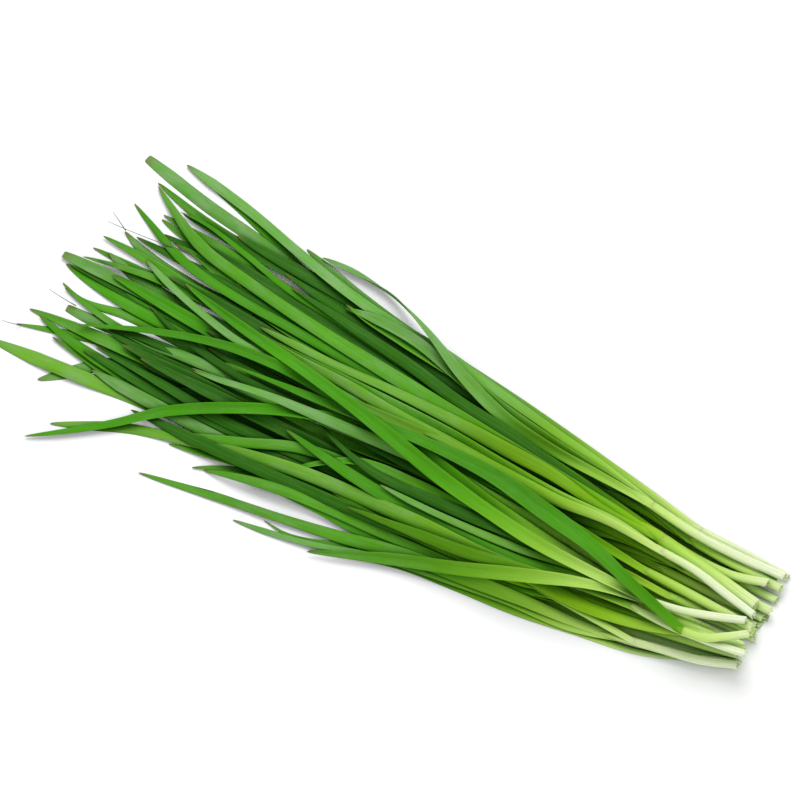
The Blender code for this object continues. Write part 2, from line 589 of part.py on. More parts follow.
def settle_leaf(strand, stem, heap, fixed=1, keep=None):
    """One leaf on the heap, with its first stations held where they are."""
    count = len(strand.seen) + 1
    index = list(range(1, count))
    steps = steps_of(strand)
    slope_step = steps_of(stem)[MOUTH - 1]
    start = strand.height[0] - (stem.height[MOUTH] - stem.height[MOUTH - 1])
    bends = [bend_row(count, (0, 1, 2), (0, 0, 0), (slope_step, steps[0]), LEAF_REACH)]
    for middle in range(1, len(index) - 1):
        bends.append(bend_row(count, index[middle - 1:middle + 2], (0, 0, 0), steps[middle - 1:middle + 1],
                              LEAF_REACH))
    loads = np.zeros(count)
    np.add.at(loads, index[:-1], steps / 2)
    np.add.at(loads, index[1:], steps / 2)
    need, share = heap.needs(strand, keep)
    holds = [(0, start)] + [(index[place], strand.height[place]) for place in range(fixed)]
    need[:fixed - 1] = NO_NEED
    contact = contact_rows(index, 0.0, need, share)
    held = strand.height[:fixed].copy()
    strand.height = settle(count, bends, [contact], holds, loads)[1:]
    strand.height[:fixed] = held


def lay_shoot(stem, leaves, heap, slack):
    strands = [stem, *leaves]
    moved = ease_sideways(stem, heap, slack[0], rooted=False)
    for strand in leaves:
        fade = np.clip(1.0 - np.arange(len(strand.seen)) / 2.0, 0.0, 1.0)
        strand.seen = strand.seen + moved * fade[:, None]
    for go in range(3):
        for strand in strands:
            strand.plan = strand.seen - SIGHT * strand.height[:, None]
        if go == 1:
            for strand in leaves:
                ease_sideways(strand, heap, slack[1], rooted=True)
                strand.plan = strand.seen - SIGHT * strand.height[:, None]
        for strand in leaves:
            follow_heap(strand, heap)
        settle_shoot(stem, leaves, heap)
    for strand in strands:
        strand.plan = strand.seen - SIGHT * strand.height[:, None]
    settle_shoot(stem, leaves, heap)
    seat(stem)
    own = heap.copy()
    clear_root = far_from(stem.plan[MOUTH], OWN_CLEAR)
    for strand in leaves:
        settle_leaf(strand, stem, own)
        own.add(strand, clear_root)
    heap.add(stem)
    for strand in leaves:
        if strand.after:
            heap.add(strand, lambda places: places[..., 0] < LIFT_FROM)
        else:
            heap.add(strand)


def seat(stem):
    """Sets the stations of a stem that are all but on the table exactly on it."""
    under = np.array([line[1][1] for _, line in stem.sections])
    stem.height = np.where(stem.height + under < SEAT, -under, stem.height)


def lay_rest(strand, stem, heap):
    """Lays the rest of a leaf whose root lies under a later shoot."""
    fixed = int((strand.plan[:, 0] < LIFT_FROM).sum())
    for _ in range(2):
        plan = strand.seen - SIGHT * strand.height[:, None]
        strand.plan[fixed:] = plan[fixed:]
        settle_leaf(strand, stem, heap, fixed, lambda places: places[..., 0] > LIFT_FROM + 3 * CELL)
    heap.add(strand)


def lay_bunch():
    draw = random.Random(SEED)
    heap = Heap()
    laid, waiting = [], []
    for spec in SHOOTS:
        stem, leaves = make_strands(spec, draw)
        slack = (SLACK_STEM, SLACK_LEAF) if spec["hidden"] else (SLACK_SEEN, SLACK_SEEN)
        lay_shoot(stem, leaves, heap, slack)
        laid.append((spec, stem, leaves))
        waiting += [(strand, stem) for strand in leaves if strand.after]
        for strand, own_stem in list(waiting):
            if strand.after == spec["name"]:
                lay_rest(strand, own_stem, heap)
                waiting.remove((strand, own_stem))
    return laid, heap


# Meshes

def ring(strand, place):
    over, under = strand.lines(0)[place], strand.lines(1)[place]
    points = list(over) + [point for point in under[::-1] if not any(np.allclose(point, o) for o in over)]
    height = np.array([0.0, 0.0, strand.height[place]])
    return [point + height for point in points]


def loft(name, rings, centre, material, group):
    """A closed body through rings of points, each step split alike on its upper and lower face."""
    mesh = bmesh.new()
    rows = [[mesh.verts.new((point - centre) * MM) for point in points] for points in rings]
    size = len(rings[0])
    blade = size == 4
    for lower, upper in zip(rows[:-1], rows[1:]):
        for place in range(size):
            after = (place + 1) % size
            a, b, c, d = lower[place], lower[after], upper[after], upper[place]
            edge_first = place % 2 == 0 if blade else place < size // 2
            if edge_first:
                mesh.faces.new((a, b, c))
                mesh.faces.new((a, c, d))
            else:
                mesh.faces.new((a, b, d))
                mesh.faces.new((b, c, d))
    for row, flip in ((rows[0], True), (rows[-1], False)):
        left, top, right, bottom = row[:4]
        for corners in ((left, top, bottom), (top, right, bottom)) if blade else (row,):
            mesh.faces.new(corners[::-1] if flip != blade else corners)
    bmesh.ops.recalc_face_normals(mesh, faces=mesh.faces)
    data = bpy.data.meshes.new(name)
    mesh.to_mesh(data)
    mesh.free()
    data.materials.append(material)
    piece = bpy.data.objects.new(name, data)
    group.objects.link(piece)
    return piece


def between(first, second, share):
    return [a + (b - a) * share for a, b in zip(first, second)]


def build_stem(name, stem, centre, material, group):
    rings = [ring(stem, place) for place in range(MOUTH + 1)]
    length = np.linalg.norm(rings[-1][0] - rings[-2][0])
    rings[-1] = between(rings[-2], rings[-1], 1 - GAP / length)
    piece = loft(name, rings, centre, material, group)
    piece.data.shade_smooth()
    piece.data.set_sharp_from_angle(angle=math.radians(50))
    return piece


def build_leaves(name, stem, leaves, centre, material, group, scratch):
    mouth, end = ring(stem, MOUTH), ring(stem, MOUTH + 1)
    rings = [mouth, between(mouth, end, 0.5), end]
    body = loft(name, rings, centre, material, group)
    for place, strand in enumerate(leaves):
        rings = [ring(strand, station) for station in range(len(strand.seen))]
        length = np.linalg.norm(rings[1][1] - rings[0][1])
        rings[0] = between(rings[0], rings[1], ROOT_SINK / length)
        loft(f"{name}_blade_{place}", rings, centre, material, scratch)
    union = body.modifiers.new("leaves", "BOOLEAN")
    union.operation = "UNION"
    union.operand_type = "COLLECTION"
    union.collection = scratch
    union.solver = "MANIFOLD"
    bpy.context.view_layer.update()
    joined = bpy.data.meshes.new_from_object(body.evaluated_get(bpy.context.evaluated_depsgraph_get()))
    body.modifiers.clear()
    body.data = joined
    body.data.name = name
    for item in list(scratch.objects):
        bpy.data.objects.remove(item, do_unlink=True)
    joined.shade_smooth()
    joined.set_sharp_from_angle(angle=math.radians(40))
    return body


def bunch_centre(laid):
    points = []
    for _, stem, leaves in laid:
        points += [point for place in range(MOUTH + 1) for point in ring(stem, place)]
        for strand in leaves:
            points += [point for place in range(len(strand.seen)) for point in ring(strand, place)]
    points = np.array(points)
    low, high = points.min(axis=0), points.max(axis=0)
    return np.array([(low[0] + high[0]) / 2, (low[1] + high[1]) / 2, low[2]])


def main():
    clear_scene()
    group = new_collection("garlic_chive_bunch")
    scratch = new_collection("joining")
    materials = {name: new_material(name) for name in COLOURS}
    laid, _ = lay_bunch()
    centre = bunch_centre(laid)
    for spec, stem, leaves in laid:
        name = spec["name"]
        stem_look, leaf_look = ("stem", "leaf_light") if spec["pale"] else ("stem_olive", "leaf")
        build_stem(f"{name}_stem", stem, centre, materials[stem_look], group)
        build_leaves(f"{name}_leaves", stem, leaves, centre, materials[leaf_look], group, scratch)
    bpy.data.collections.remove(scratch)


main()
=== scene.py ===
# Garlic chive bunch: cut shoots in a fan on a pale table, each a pale stem with its flat leaves.
import math
import random

import bmesh
import bpy
import numpy as np
from mathutils import Matrix, Vector


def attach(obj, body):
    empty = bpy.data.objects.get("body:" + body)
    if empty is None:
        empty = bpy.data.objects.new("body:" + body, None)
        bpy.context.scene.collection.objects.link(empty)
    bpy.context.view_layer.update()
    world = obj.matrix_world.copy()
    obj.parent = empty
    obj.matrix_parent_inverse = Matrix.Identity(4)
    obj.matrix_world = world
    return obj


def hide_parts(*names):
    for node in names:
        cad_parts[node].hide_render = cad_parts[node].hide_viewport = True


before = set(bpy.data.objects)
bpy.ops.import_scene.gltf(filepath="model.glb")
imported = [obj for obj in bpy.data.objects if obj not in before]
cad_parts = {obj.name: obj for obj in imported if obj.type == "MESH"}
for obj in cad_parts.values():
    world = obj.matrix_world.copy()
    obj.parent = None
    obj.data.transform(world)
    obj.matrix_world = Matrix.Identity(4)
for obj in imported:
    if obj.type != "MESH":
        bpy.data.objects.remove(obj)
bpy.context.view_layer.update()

print("frame loaded:", len(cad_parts), "nodes")

# How the shoots lie. The same rules and numbers as in the part's source, so each blade lies on its solid.
mm = 0.001
# Sizes in millimetres
leafThick = 0.8        # at the midrib, along the middle of a leaf
leafEndsThick = 0.62   # at its root and its tip
thickRun = (leafEndsThick, leafThick, leafThick, leafEndsThick)
thickAt = (0.0, 0.2, 0.85, 1.0)     # the shares of the length where it has these
leafFold = 0.07        # how far the edges stand above the midrib, as a share of the width
leafRoot = 0.6         # width where a leaf leaves its stem, as a share of the full width
leafSpread = 70.0      # distance from the root at which a seen leaf has its full width
hiddenSpread = 170.0   # the same for the leaves under the others, which come out at the tips
leafSlim = 0.28        # how much narrower a seen leaf gets over its outer half, as a share of the width
slimFrom = 0.4         # where that starts and ends, as shares of the length
slimTo = 0.9
leafTaper = 40.0       # distance over which a leaf narrows to its tip
leafOgive = 0.55       # how full the narrowing is: 1 is a straight taper
tipStep = 8.0          # distance from the tip to the section before it
tipWidth = 0.9
cutTip = 0.55          # width left at a tip that is cut square, as a share of the full width
leafStep = 24.0        # length between two sections of a leaf
leafLeast = 4          # steps that the shortest leaf has
rootStack = 0.7        # height from one leaf to the next where they leave the stem
rootAhead = 12.0       # a leaf whose first place is far off goes on this far as its stem points
rootFar = 30.0         # how far off that is
twistAt = 0.78         # where a twisted leaf has its twist, as a share of the length, and how wide it is
twistSpan = 0.1
stemFlat = 0.66        # thickness of a stem, as a share of its width
stemShares = (0.94, 1.0, 1.0, 0.96, 0.7)    # its width at its stations, as shares of the widest
neckFlat = 0.42        # thickness at the end of the neck, as a share of the stem's width
stemCorner = 0.42      # where the corners of its section lie, as a share of its half width and thickness
neckLength = 13.0      # green neck above the stem's mouth, which the leaves grow out of
shortNeck = 4.0        # the same where the leaves bend away sharply
clearGap = 0.3         # clear space kept between two pieces
seatGap = 0.02         # a stem this close to the table is set exactly on it
mouthStation = 3       # the station of a stem that its leaves leave it at
rootEase = 2.0         # stations over which a shift or a turn of a leaf grows from its root
ripple = (2.0, 8.0)    # how far a leaf turns to and fro along its length, degrees
rippleWaves = 2.6      # half waves of that
ownClear = 16.0        # distance from the mouth past which a shoot's leaves lie on one another
# How far a leaf or a stem reaches before it sags under its own weight
leafReach = 32.0
stemReach = 65.0
stemLoad = 3.0         # weight of a stem's length, in that of a leaf's
# How far a strand may settle sideways into a lower place: hidden leaves, hidden stems, and seen strands
slackLeaf = 5.0
slackStem = 1.8
slackSeen = 1.4
sideCost = 0.05        # height that a strand has to gain for each unit that it moves sideways
sideTries = 9          # places across the slack that are tried
# The places below are as seen from in front and 62 degrees above the table.
# A point that lies one unit above the table is seen shifted by this much along and across the bunch.
sight = np.array([0.254, -0.468])
# The height map of what is already laid: its corner, its size and its cell
mapCorner = np.array([-20.0, -90.0])
mapSize = (360.0, 190.0)
cellSize = 0.35
sampleStep = 0.8 * cellSize     # between the points of a strand that are felt on the map
# How a leaf rolls with what it lies on: how far out it feels, and the share of the slope that it takes
feelWidth = 3.0
feelShare = 0.55
rollShare = 0.9
secondRoll = 0.6
maxRoll = math.radians(34)
layingSeed = 5


def leaf(width, *points, tip="point", twist=0.0, after=None, tone="mid"):
    # A leaf: width, places it passes from root to tip, and the shoot it lies over, if not just its own.
    return {"width": width, "points": points, "tip": tip, "twist": twist, "after": after, "tone": tone}


def shoot(name, width, stem, *leaves, spare=0, pale=False, neck=neckLength):
    # A shoot: its stem from cut end to mouth, its leaves from the lowest up, and how many spare ones.
    hidden = name.startswith(("low_", "mid_"))
    return {"name": name, "width": width, "stem": stem, "leaves": leaves, "spare": spare, "pale": pale,
            "neck": neck, "hidden": hidden}


# From the lowest shoot to the highest. x runs from the cut ends to the tips, y across the bunch.
shoots = (
    shoot("far_edge", 3.6, ((-1, -19.5), (20, -20.7), (38, -21.3)),
          leaf(6.0, (80, -25), (160, -35), (235, -42), (255, -43.7), (275, -48), (294.5, -54)),
          leaf(4.5, (60, -25), (120, -35), (180, -44), (230, -51.5), (250, -58.8), (272, -64),
               tone="fresh"),
          leaf(5.0, (57, -24.5), (90, -30), (150, -40), (190, -45.7), (210, -50.8), (229.5, -57),
               tone="milky"), pale=True),
    shoot("low_a", 3.9, ((1, -15), (20, -15.8), (42, -17.5)),
          leaf(5.4, (90, -18), (180, -30), (262, -38.5), (277, -40), (285, -41.7)),
          leaf(5.4, (80, -20), (150, -32), (210, -43.5), (240, -50.3), (270, -55.3), (303, -62.8),
               tip="cut", tone="milky"),
          leaf(4.9, (100, -21), (200, -36), (260, -43.5), (285, -46.2)),
          leaf(4.3, (80, -15), (160, -18), (230, -21), (246, -22.5), (265, -22.8), (283, -25.5),
               (295, -30.3), tone="milky")),
    shoot("low_b", 4.0, ((-2, -10.4), (20, -11), (44, -12.4)),
          leaf(4.1, (90, -14), (180, -18), (270, -22), (290, -23.3), (301.7, -23.8)),
          leaf(4.5, (150, -20), (230, -28.5), (250, -32), (275.5, -35)),
          leaf(4.9, (120, -12), (200, -13), (268, -14.5), (282, -16.3), (295.5, -20), tone="milky"),
          leaf(3.9, (130, -15), (220, -21), (275, -22), (290, -19.8), (304.3, -17.3))),
    shoot("low_c", 3.8, ((2, -5.8), (20, -6.2), (44, -7)),
          leaf(5.4, (120, -8), (250, -10), (270, -11), (290, -11.7), (303, -12.6), tone="milky"),
          leaf(4.6, (120, -4), (250, -7), (280, -9.3), (311, -9.8), tip="cut", tone="milky"),
          leaf(4.5, (120, -10), (200, -20), (250, -25), (270.5, -26), tone="deep"), spare=1),
    shoot("low_d", 4.0, ((-1, -1.2), (20, -1.3), (45, -1.5)),
          leaf(4.1, (120, 2), (200, 3), (260, 2), (275, 1.3), (290, 5.5), (297, 3.8), (305.3, 0.8)),
          leaf(6.9, (120, -2), (250, -2.5), (272, -3.3), (292, -4.8), (306.5, -7.3), tone="fresh"),
          leaf(5.1, (120, -5), (200, -9), (250, -13), (289.5, -16), tone="fresh"), spare=1),
    shoot("low_e", 3.8, ((0, 3.4), (20, 3.7), (43, 4.2)),
          leaf(4.1, (120, 5), (235, 7.5), (265, 13.5), (290, 18.5), (311.7, 25.3)),
          leaf(5.1, (120, 8), (240, 14), (265, 16), (290, 15.7), (311, 17)),
          leaf(4.9, (120, 5), (200, 6), (260, 8), (285, 10), (297.7, 9.8), tip="cut", tone="milky"),
          spare=1),
    shoot("low_f", 4.0, ((-2, 8), (20, 8.7), (44, 10)),
          leaf(5.1, (120, 12), (200, 12), (255, 15), (270, 19.5), (283, 31.5), (294, 42.3), tone="milky"),
          leaf(5.4, (120, 17), (180, 24), (235, 27.5), (265, 25.3), (285, 23), (306.5, 17.3), tone="fresh"),
          leaf(4.9, (120, 10), (200, 13), (238, 16), (253.7, 21.7), tone="deep"), spare=1),
    shoot("low_g", 3.9, ((2, 12.8), (20, 14), (43, 16.5)),
          leaf(5.9, (120, 24), (200, 29), (240, 31.5), (270, 33.2), (300, 35.2), (317, 36), tone="light"),
          leaf(5.1, (120, 26), (190, 31), (230, 32.5), (250, 31), (277, 28.6), tone="milky"),
          leaf(4.3, (120, 30), (192, 38), (210, 42), (222.7, 47.8)), spare=1),
    shoot("near_edge", 3.4, ((-2, 22.4), (5, 24.8), (12, 27.6)),
          leaf(5.5, (25, 28.8), (45, 29.3), (80, 31.5), (130, 34.5), (160, 36.5), (196, 38.5),
               tone="yellow"),
          leaf(4.5, (25, 32.5), (40, 37.5), (60, 39.5), (80, 42.3), (110, 44.7), (130, 46.5),
               (150, 52), (166, 58), tone="fresh"),
          leaf(3.0, (25, 31), (45, 34), (80, 37), (135, 42), (155, 49.5), (168, 56), (187.3, 54.8)),
          pale=True),
    shoot("low_h", 3.9, ((0, 18.6), (20, 22.4), (42, 25.8)),
          leaf(4.5, (100, 31), (180, 31), (200, 35.3), (220, 39.8), (235.5, 43)),
          leaf(5.4, (120, 32), (150, 35.5), (180, 34.5), (205.7, 37.3), tone="fresh"),
          leaf(4.5, (80, 32), (120, 35.5), (150, 38), (180, 39.6), (218, 45.3)), spare=1),
    shoot("mid_a", 3.8, ((-1, -14), (20, -14.5), (40, -16)), spare=4),
    shoot("mid_c", 3.8, ((-2, -3.5), (20, -3.5), (38, -4)), spare=4),
    shoot("mid_e", 3.8, ((-1, 6.5), (20, 7), (36, 8)), spare=4),
    shoot("far_white", 3.8, ((0, -17.5), (20, -17), (40, -17.8), (60, -20.8)),
          leaf(6.0, (84, -27), (120, -33.5), (160, -40.5), (190, -43.5), (230, -52.5), (266, -62),
               (288.3, -66), tone="milky"),
          leaf(6.0, (80, -22), (100, -25.5), (140, -33), (165, -39), (185, -42), (203.8, -41.4),
               tone="milky"),
          leaf(5.0, (80, -21), (110, -25), (138, -30), (155, -36.5), (185, -49.8), (200, -55),
               (223, -56.7), twist=70, tone="milky"), pale=True),
    shoot("far_green", 3.9, ((5, -15), (10, -13.5), (20, -12.4), (30, -12.8), (46, -15.2)),
          leaf(3.6, (100, -20), (160, -28), (205, -35.3), (225, -37.3), (245, -42), (259, -47.5),
               (280, -48), tone="fresh"),
          leaf(5.5, (90, -18.8), (130, -25), (170, -32), (210, -38.3), (226, -40.2), tone="deep"), spare=1),
    shoot("near_white", 3.7, ((-1, 21.5), (10, 26), (25, 29.3), (38, 31.8)),
          leaf(3.8, (52, 37.2), (70, 39.6), (90, 41), (120, 45), (150, 51), (170, 57.5), (198, 60.8),
               tone="milky"),
          leaf(5.5, (60, 34.2), (80, 35.5), (110, 38.8), (140, 43.5), (170, 49.8), (200, 54),
               (239.3, 59.7)),
          leaf(4.5, (50, 31.4), (70, 30), (100, 28.6), (140, 26.5), (175, 27), tone="yellow"), pale=True),
    shoot("near_olive", 4.0, ((0, 14), (26, 14.5), (42, 16)),
          leaf(5.5, (80, 20), (120, 21.5), (150, 18), (180, 17), (200, 22.5), (220, 31.3), (244, 39.3)),
          leaf(4.5, (100, 14), (150, 12), (176, 18), (186, 26), (194.7, 35.7)), spare=1),
    shoot("near_grey", 3.8, ((0, 17), (12, 17.5), (44, 17.5)),
          leaf(6.5, (60, 15.5), (80, 19), (100, 23), (120, 24.2), (150, 21.8), (180, 18), (198.3, 14.6),
               tone="fresh"),
          leaf(3.6, (70, 15.5), (100, 18), (130, 20), (155, 19.5), tone="milky")),
    shoot("near_light", 3.8, ((-1, 17.5), (8, 18.5), (18, 20)),
          leaf(5.0, (40, 23), (60, 24), (85, 30), (120, 33), (150, 33), (172, 31.5), tone="yellow"),
          leaf(6.0, (30, 23.5), (50, 27.4), (66, 27.3), (80, 26.2), (120, 26.8), (160, 26.7),
               (190, 30), (220, 36.3), (250, 44), (279.5, 57.2), tone="light")),
    shoot("near_tall", 3.3, ((-2, 19), (10, 20.5), (28, 22), (46, 21.4)),
          leaf(5.0, (62, 15), (85, 11.8), (110, 13.7), (150, 15.2), (170, 13.8), (190, 5.8), tone="deep"),
          leaf(5.0, (60, 22), (80, 24), (110, 30), (140, 32), (162, 34), tone="olive"), spare=1, pale=True),
    shoot("far_pale", 5.0, ((4, -4.3), (20, -7), (40, -10.5), (49, -12.2)),
          leaf(5.5, (100, -16), (150, -20), (200, -23), (230, -24.7), (250, -26.2), (270, -30),
               (298, -43), tone="fresh"),
          leaf(6.2, (70, -14), (100, -16.5), (130, -20.3), (160, -23.7), (200, -28.5), (240, -34.4),
               (270, -41.5), (292.5, -55)),
          leaf(5.5, (70, -11.5), (100, -15), (130, -18), (160, -18.7), (200, -19), (229, -19.5),
               tone="light")),
    shoot("middle_white", 3.6, ((3, 1), (10, 0), (20, -2.8), (30, -4.9), (47, -6.3)),
          leaf(5.0, (120, -9), (180, -8), (235, -8), (250, -11.3), (268, -16.5), (282.5, -22),
               tone="milky"),
          leaf(4.8, (80, -10.5), (100, -11.8), (130, -13.2), (160, -14), (200, -15), (222, -17.2)),
          leaf(5.0, (60, -6.3), (90, -7.2), (120, -8.3), (150, -8.5), (180, -10), (215, -12), (243, -16),
               tone="light"),
          pale=True),
    shoot("middle_olive", 3.9, ((2, 3), (20, 3), (48, 2.6)),
          leaf(4.5, (100, 0), (170, 3), (215, 6.3), (238, 4), (255, 1), (271.3, -5), tone="deep"),
          leaf(4.0, (120, 4), (180, 7), (200, 9), (243.3, 11.2), tone="milky"),
          leaf(5.5, (90, 3), (140, 0.5), (180, 4), (210, 13), (240, 29), (253, 40), (265, 51.5),
               (287.5, 67.7), tone="fresh")),
    shoot("top_white", 3.5, ((5, 3.3), (15, 7), (25, 10.3), (33, 12.2), (41, 13.4)),
          leaf(5.5, (56, 9), (80, 4.2), (105, 3), (145, 1.5), (180, 3), (210, 4.5), (242.5, 9.3),
               tone="milky"),
          leaf(5.0, (60, 13), (100, 10.5), (150, 2), (190, -4.6), (215, -5.7), (235, -3.8), (265, 4.7),
               (290.5, 15.3), tone="fresh"),
          leaf(6.0, (60, 17), (80, 23.7), (100, 30.2), (120, 38.3), (140, 46), (167, 57.5)),
          leaf(6.0, (60, 15.7), (90, 15), (130, 8.8), (170, -1), (210, -9.2), (250, -16.5), (264, -20),
               after="top_olive", tone="fresh"), pale=True),
    shoot("top_olive", 3.5, ((2, 8), (8, 12.6), (14, 16.6), (19, 18.7), (24, 18.8)),
          leaf(5.0, (36, 16.5), (52, 11.5), (70, 7), (100, 0.5), (130, -3.5), (146, -3.8), tone="fresh"),
          leaf(7.0, (36, 17), (52, 12), (70, 7.5), (100, 1), (120, -2.5), (150, -2.8), (180, -0.5),
               (228.5, 2.7), tone="fresh"),
          neck=shortNeck),
)
# A leaf that lies over a later shoot is laid in two goes, and the second starts this far along the bunch
liftFrom = 90.0
liftSeam = 3 * cellSize     # the second clears what lies further on than this
# Spare leaves keep to a lane of the fan, whose far and near edges open out along the bunch
fanX = (40.0, 100.0, 150.0, 200.0, 260.0)
fanFar = (-19.0, -27.0, -35.0, -45.0, -50.0)
fanNear = (25.0, 36.0, 42.0, 46.0, 44.0)
spareLength = (185.0, 250.0)
spareWidth = (4.2, 5.6)
spareLane = (0.07, 0.93)
spareStray = 0.22
spareWaver = 2.0
spareShares = (0.35, 0.7, 1.0)      # the shares of its length where a spare leaf's places lie
# How stiffly the settling holds a fixed place, and how hard it pushes a strand off what lies under it
holdForce = 1e7
pushForce = 2e4
tinyStiff = 1e-6        # keeps the heights of a strand that nothing holds from being undefined
noNeed = -99.0          # level of the places that a strand doesn't have to clear
# The settling goes on until its contacts no longer change, between these numbers of goes
goes = (12, 60)
takenShare = 0.7        # of each go's change
lastLifts = 3           # times that what still lies too low is lifted
layGoes = 3             # times that a shoot is moved to its places and settled
restGoes = 2            # the same for the rest of a leaf that lies over a later shoot
curvePoints = 400       # of a smooth curve, which its length is measured along


def walkedAlong(places):
    # Length walked from the first place to each of them, on the table.
    return np.concatenate([[0.0], np.cumsum(np.hypot(*np.diff(places[:, :2], axis=0).T))])


def hermiteRun(knots, along, fine):
    # Smooth run through the knots, which lie at the lengths along, at the lengths fine.
    slopes = np.gradient(knots, along, axis=0)
    index = np.clip(np.searchsorted(along, fine, side="right") - 1, 0, len(along) - 2)
    step = np.diff(along)[index][:, None]
    t = (fine - along[index])[:, None] / step
    return ((2 * t**3 - 3 * t**2 + 1) * knots[index] + (t**3 - 2 * t**2 + t) * step * slopes[index]
            + (3 * t**2 - 2 * t**3) * knots[index + 1] + (t**3 - t**2) * step * slopes[index + 1])


def smoothRun(points, shares):
    # Places at the given shares of the length of a smooth curve through the points.
    knots = np.array(points, float)
    along = walkedAlong(knots)
    curve = hermiteRun(knots, along, np.linspace(0.0, along[-1], curvePoints))
    walked = walkedAlong(curve)
    return np.column_stack([np.interp(shares * walked[-1], walked, curve[:, axis]) for axis in range(2)])


def sidesOf(slopes):
    # Unit vectors to the left of the given directions, on the table.
    ahead = slopes[:, :2] / np.hypot(slopes[:, 0], slopes[:, 1])[:, None]
    return np.column_stack([-ahead[:, 1], ahead[:, 0]])


def smoothStep(shares):
    # 0 below 0, 1 above 1, and an even rise between.
    part = np.clip(shares, 0.0, 1.0)
    return part * part * (3 - 2 * part)


def rootFade(count):
    # 0 at a leaf's root, 1 from where it is free of its root.
    return np.clip(np.arange(count) / rootEase, 0.0, 1.0)


def runLength(places):
    # Length of the straight way from place to place.
    return float(np.hypot(*np.diff(np.array(places, float), axis=0).T).sum())


def leafSection(width, thick):
    # Over and under lines of a folded leaf, from one edge to the other, as (across, up).
    lift = leafFold * width
    over = ((-width / 2, lift), (0.0, thick / 2), (width / 2, lift))
    under = ((-width / 2, lift), (0.0, -thick / 2), (width / 2, lift))
    return over, under


def stemSection(width, thick):
    # Over and under lines of an eight-sided stem with a flat underside.
    outer, side = width / 2, stemCorner * thick / 2
    inner = stemCorner * width / 2
    over = ((-outer, side), (-inner, thick / 2), (inner, thick / 2), (outer, side))
    under = ((-outer, -side), (-inner, -thick / 2), (inner, -thick / 2), (outer, -side))
    return over, under


class Strand:
    # A stem or a leaf: places seen from the front, with a section, a roll and a height at each of them.

    def __init__(self, seen, widths, thicks, section):
        self.seen = np.array(seen, float)
        self.plan = self.seen.copy()
        self.sections = [section(width, thick) for width, thick in zip(widths, thicks)]
        self.widths = np.array(widths, float)
        self.roll = np.zeros(len(self.seen))
        self.twist = np.zeros(len(self.seen))
        self.height = np.zeros(len(self.seen))

    def sides(self):
        return sidesOf(np.gradient(self.plan, axis=0))

    def placed(self):
        # Where on the table the seen places are, at the strand's heights.
        return self.seen - sight * self.height[:, None]

    def lines(self, which):
        # The over (0) or under (1) line of each section in space, with the height left out.
        shape = np.array([pair[which] for pair in self.sections])
        turn, lean = np.cos(self.roll)[:, None], np.sin(self.roll)[:, None]
        across = shape[:, :, 0] * turn - shape[:, :, 1] * lean
        up = shape[:, :, 0] * lean + shape[:, :, 1] * turn
        flat = self.plan[:, None, :] + self.sides()[:, None, :] * across[:, :, None]
        return np.concatenate([flat, up[:, :, None]], axis=2)

    def facets(self, which):
        # Points all over the over or under faces, split as the mesh is: place, height offset and share.
        lines = self.lines(which)
        width = np.abs(np.diff(lines[:, :, :2], axis=1)).sum(axis=2).max()
        length = np.hypot(*np.diff(self.plan, axis=0).T).max()
        t = np.linspace(0.0, 1.0, max(3, int(length / sampleStep)))[None, :, None, None]
        u = np.linspace(0.0, 1.0, max(3, int(width / sampleStep)))[None, None, :, None]
        pieces = []
        middle = (lines.shape[1] - 1) / 2
        for part in range(lines.shape[1] - 1):
            inner, outer = (part + 1, part) if part < middle else (part, part + 1)
            near, far = lines[:-1, None, None, inner], lines[1:, None, None, inner]
            nearEdge, farEdge = lines[:-1, None, None, outer], lines[1:, None, None, outer]
            first = near + t * (far - near) + u * (nearEdge - near)
            second = farEdge + (1 - t) * (nearEdge - farEdge) + (1 - u) * (far - farEdge)
            pieces.append(np.where(t + u <= 1.0, first, second))
        return np.concatenate(pieces, axis=2), t[0, :, 0, 0]

    def rise(self, share):
        return self.height[:-1, None] * (1 - share) + self.height[1:, None] * share


class Heap:
    # Height of what is laid so far, on a grid over the table.

    def __init__(self):
        self.shape = tuple(int(size / cellSize) for size in mapSize)
        self.top = np.full(self.shape, -clearGap)
        self.wide = self.top.copy()

    def cells(self, places):
        cell = ((places - mapCorner) / cellSize).astype(int)
        return np.clip(cell[..., 0], 0, self.shape[0] - 1), np.clip(cell[..., 1], 0, self.shape[1] - 1)

    def add(self, strand, keep=None):
        # Lays a strand on the grid. keep is a test of the places that count.
        points, share = strand.facets(0)
        heights = points[..., 2] + strand.rise(share)[:, :, None]
        places = points[..., :2]
        if keep is not None:
            chosen = keep(places)
            places, heights = places[chosen], heights[chosen]
        cells = self.cells(places)
        np.maximum.at(self.top, cells, heights)
        self.widen(*(slice(max(cell.min() - 2, 0), cell.max() + 3) for cell in cells))

    def widen(self, rows, columns):
        # Spreads the heights there by one cell each way, so that no strand slips in beside another.
        wide = self.top[rows, columns].copy()
        for axis in (0, 1):
            base = wide.copy()
            for way in (-1, 1):
                wide = np.maximum(wide, np.roll(base, way, axis=axis))
        self.wide[rows, columns][1:-1, 1:-1] = wide[1:-1, 1:-1]

    def at(self, places):
        return self.wide[self.cells(places)]

    def copy(self):
        other = Heap()
        other.top = self.top.copy()
        other.wide = self.wide.copy()
        return other

    def needs(self, strand, keep=None):
        # The least height of a strand's line at each share of each step, to lie clear of the heap.
        points, share = strand.facets(1)
        level = self.at(points[..., :2]) + clearGap - points[..., 2]
        if keep is not None:
            level = np.where(keep(points[..., :2]), level, noNeed)
        return level.max(axis=2), share


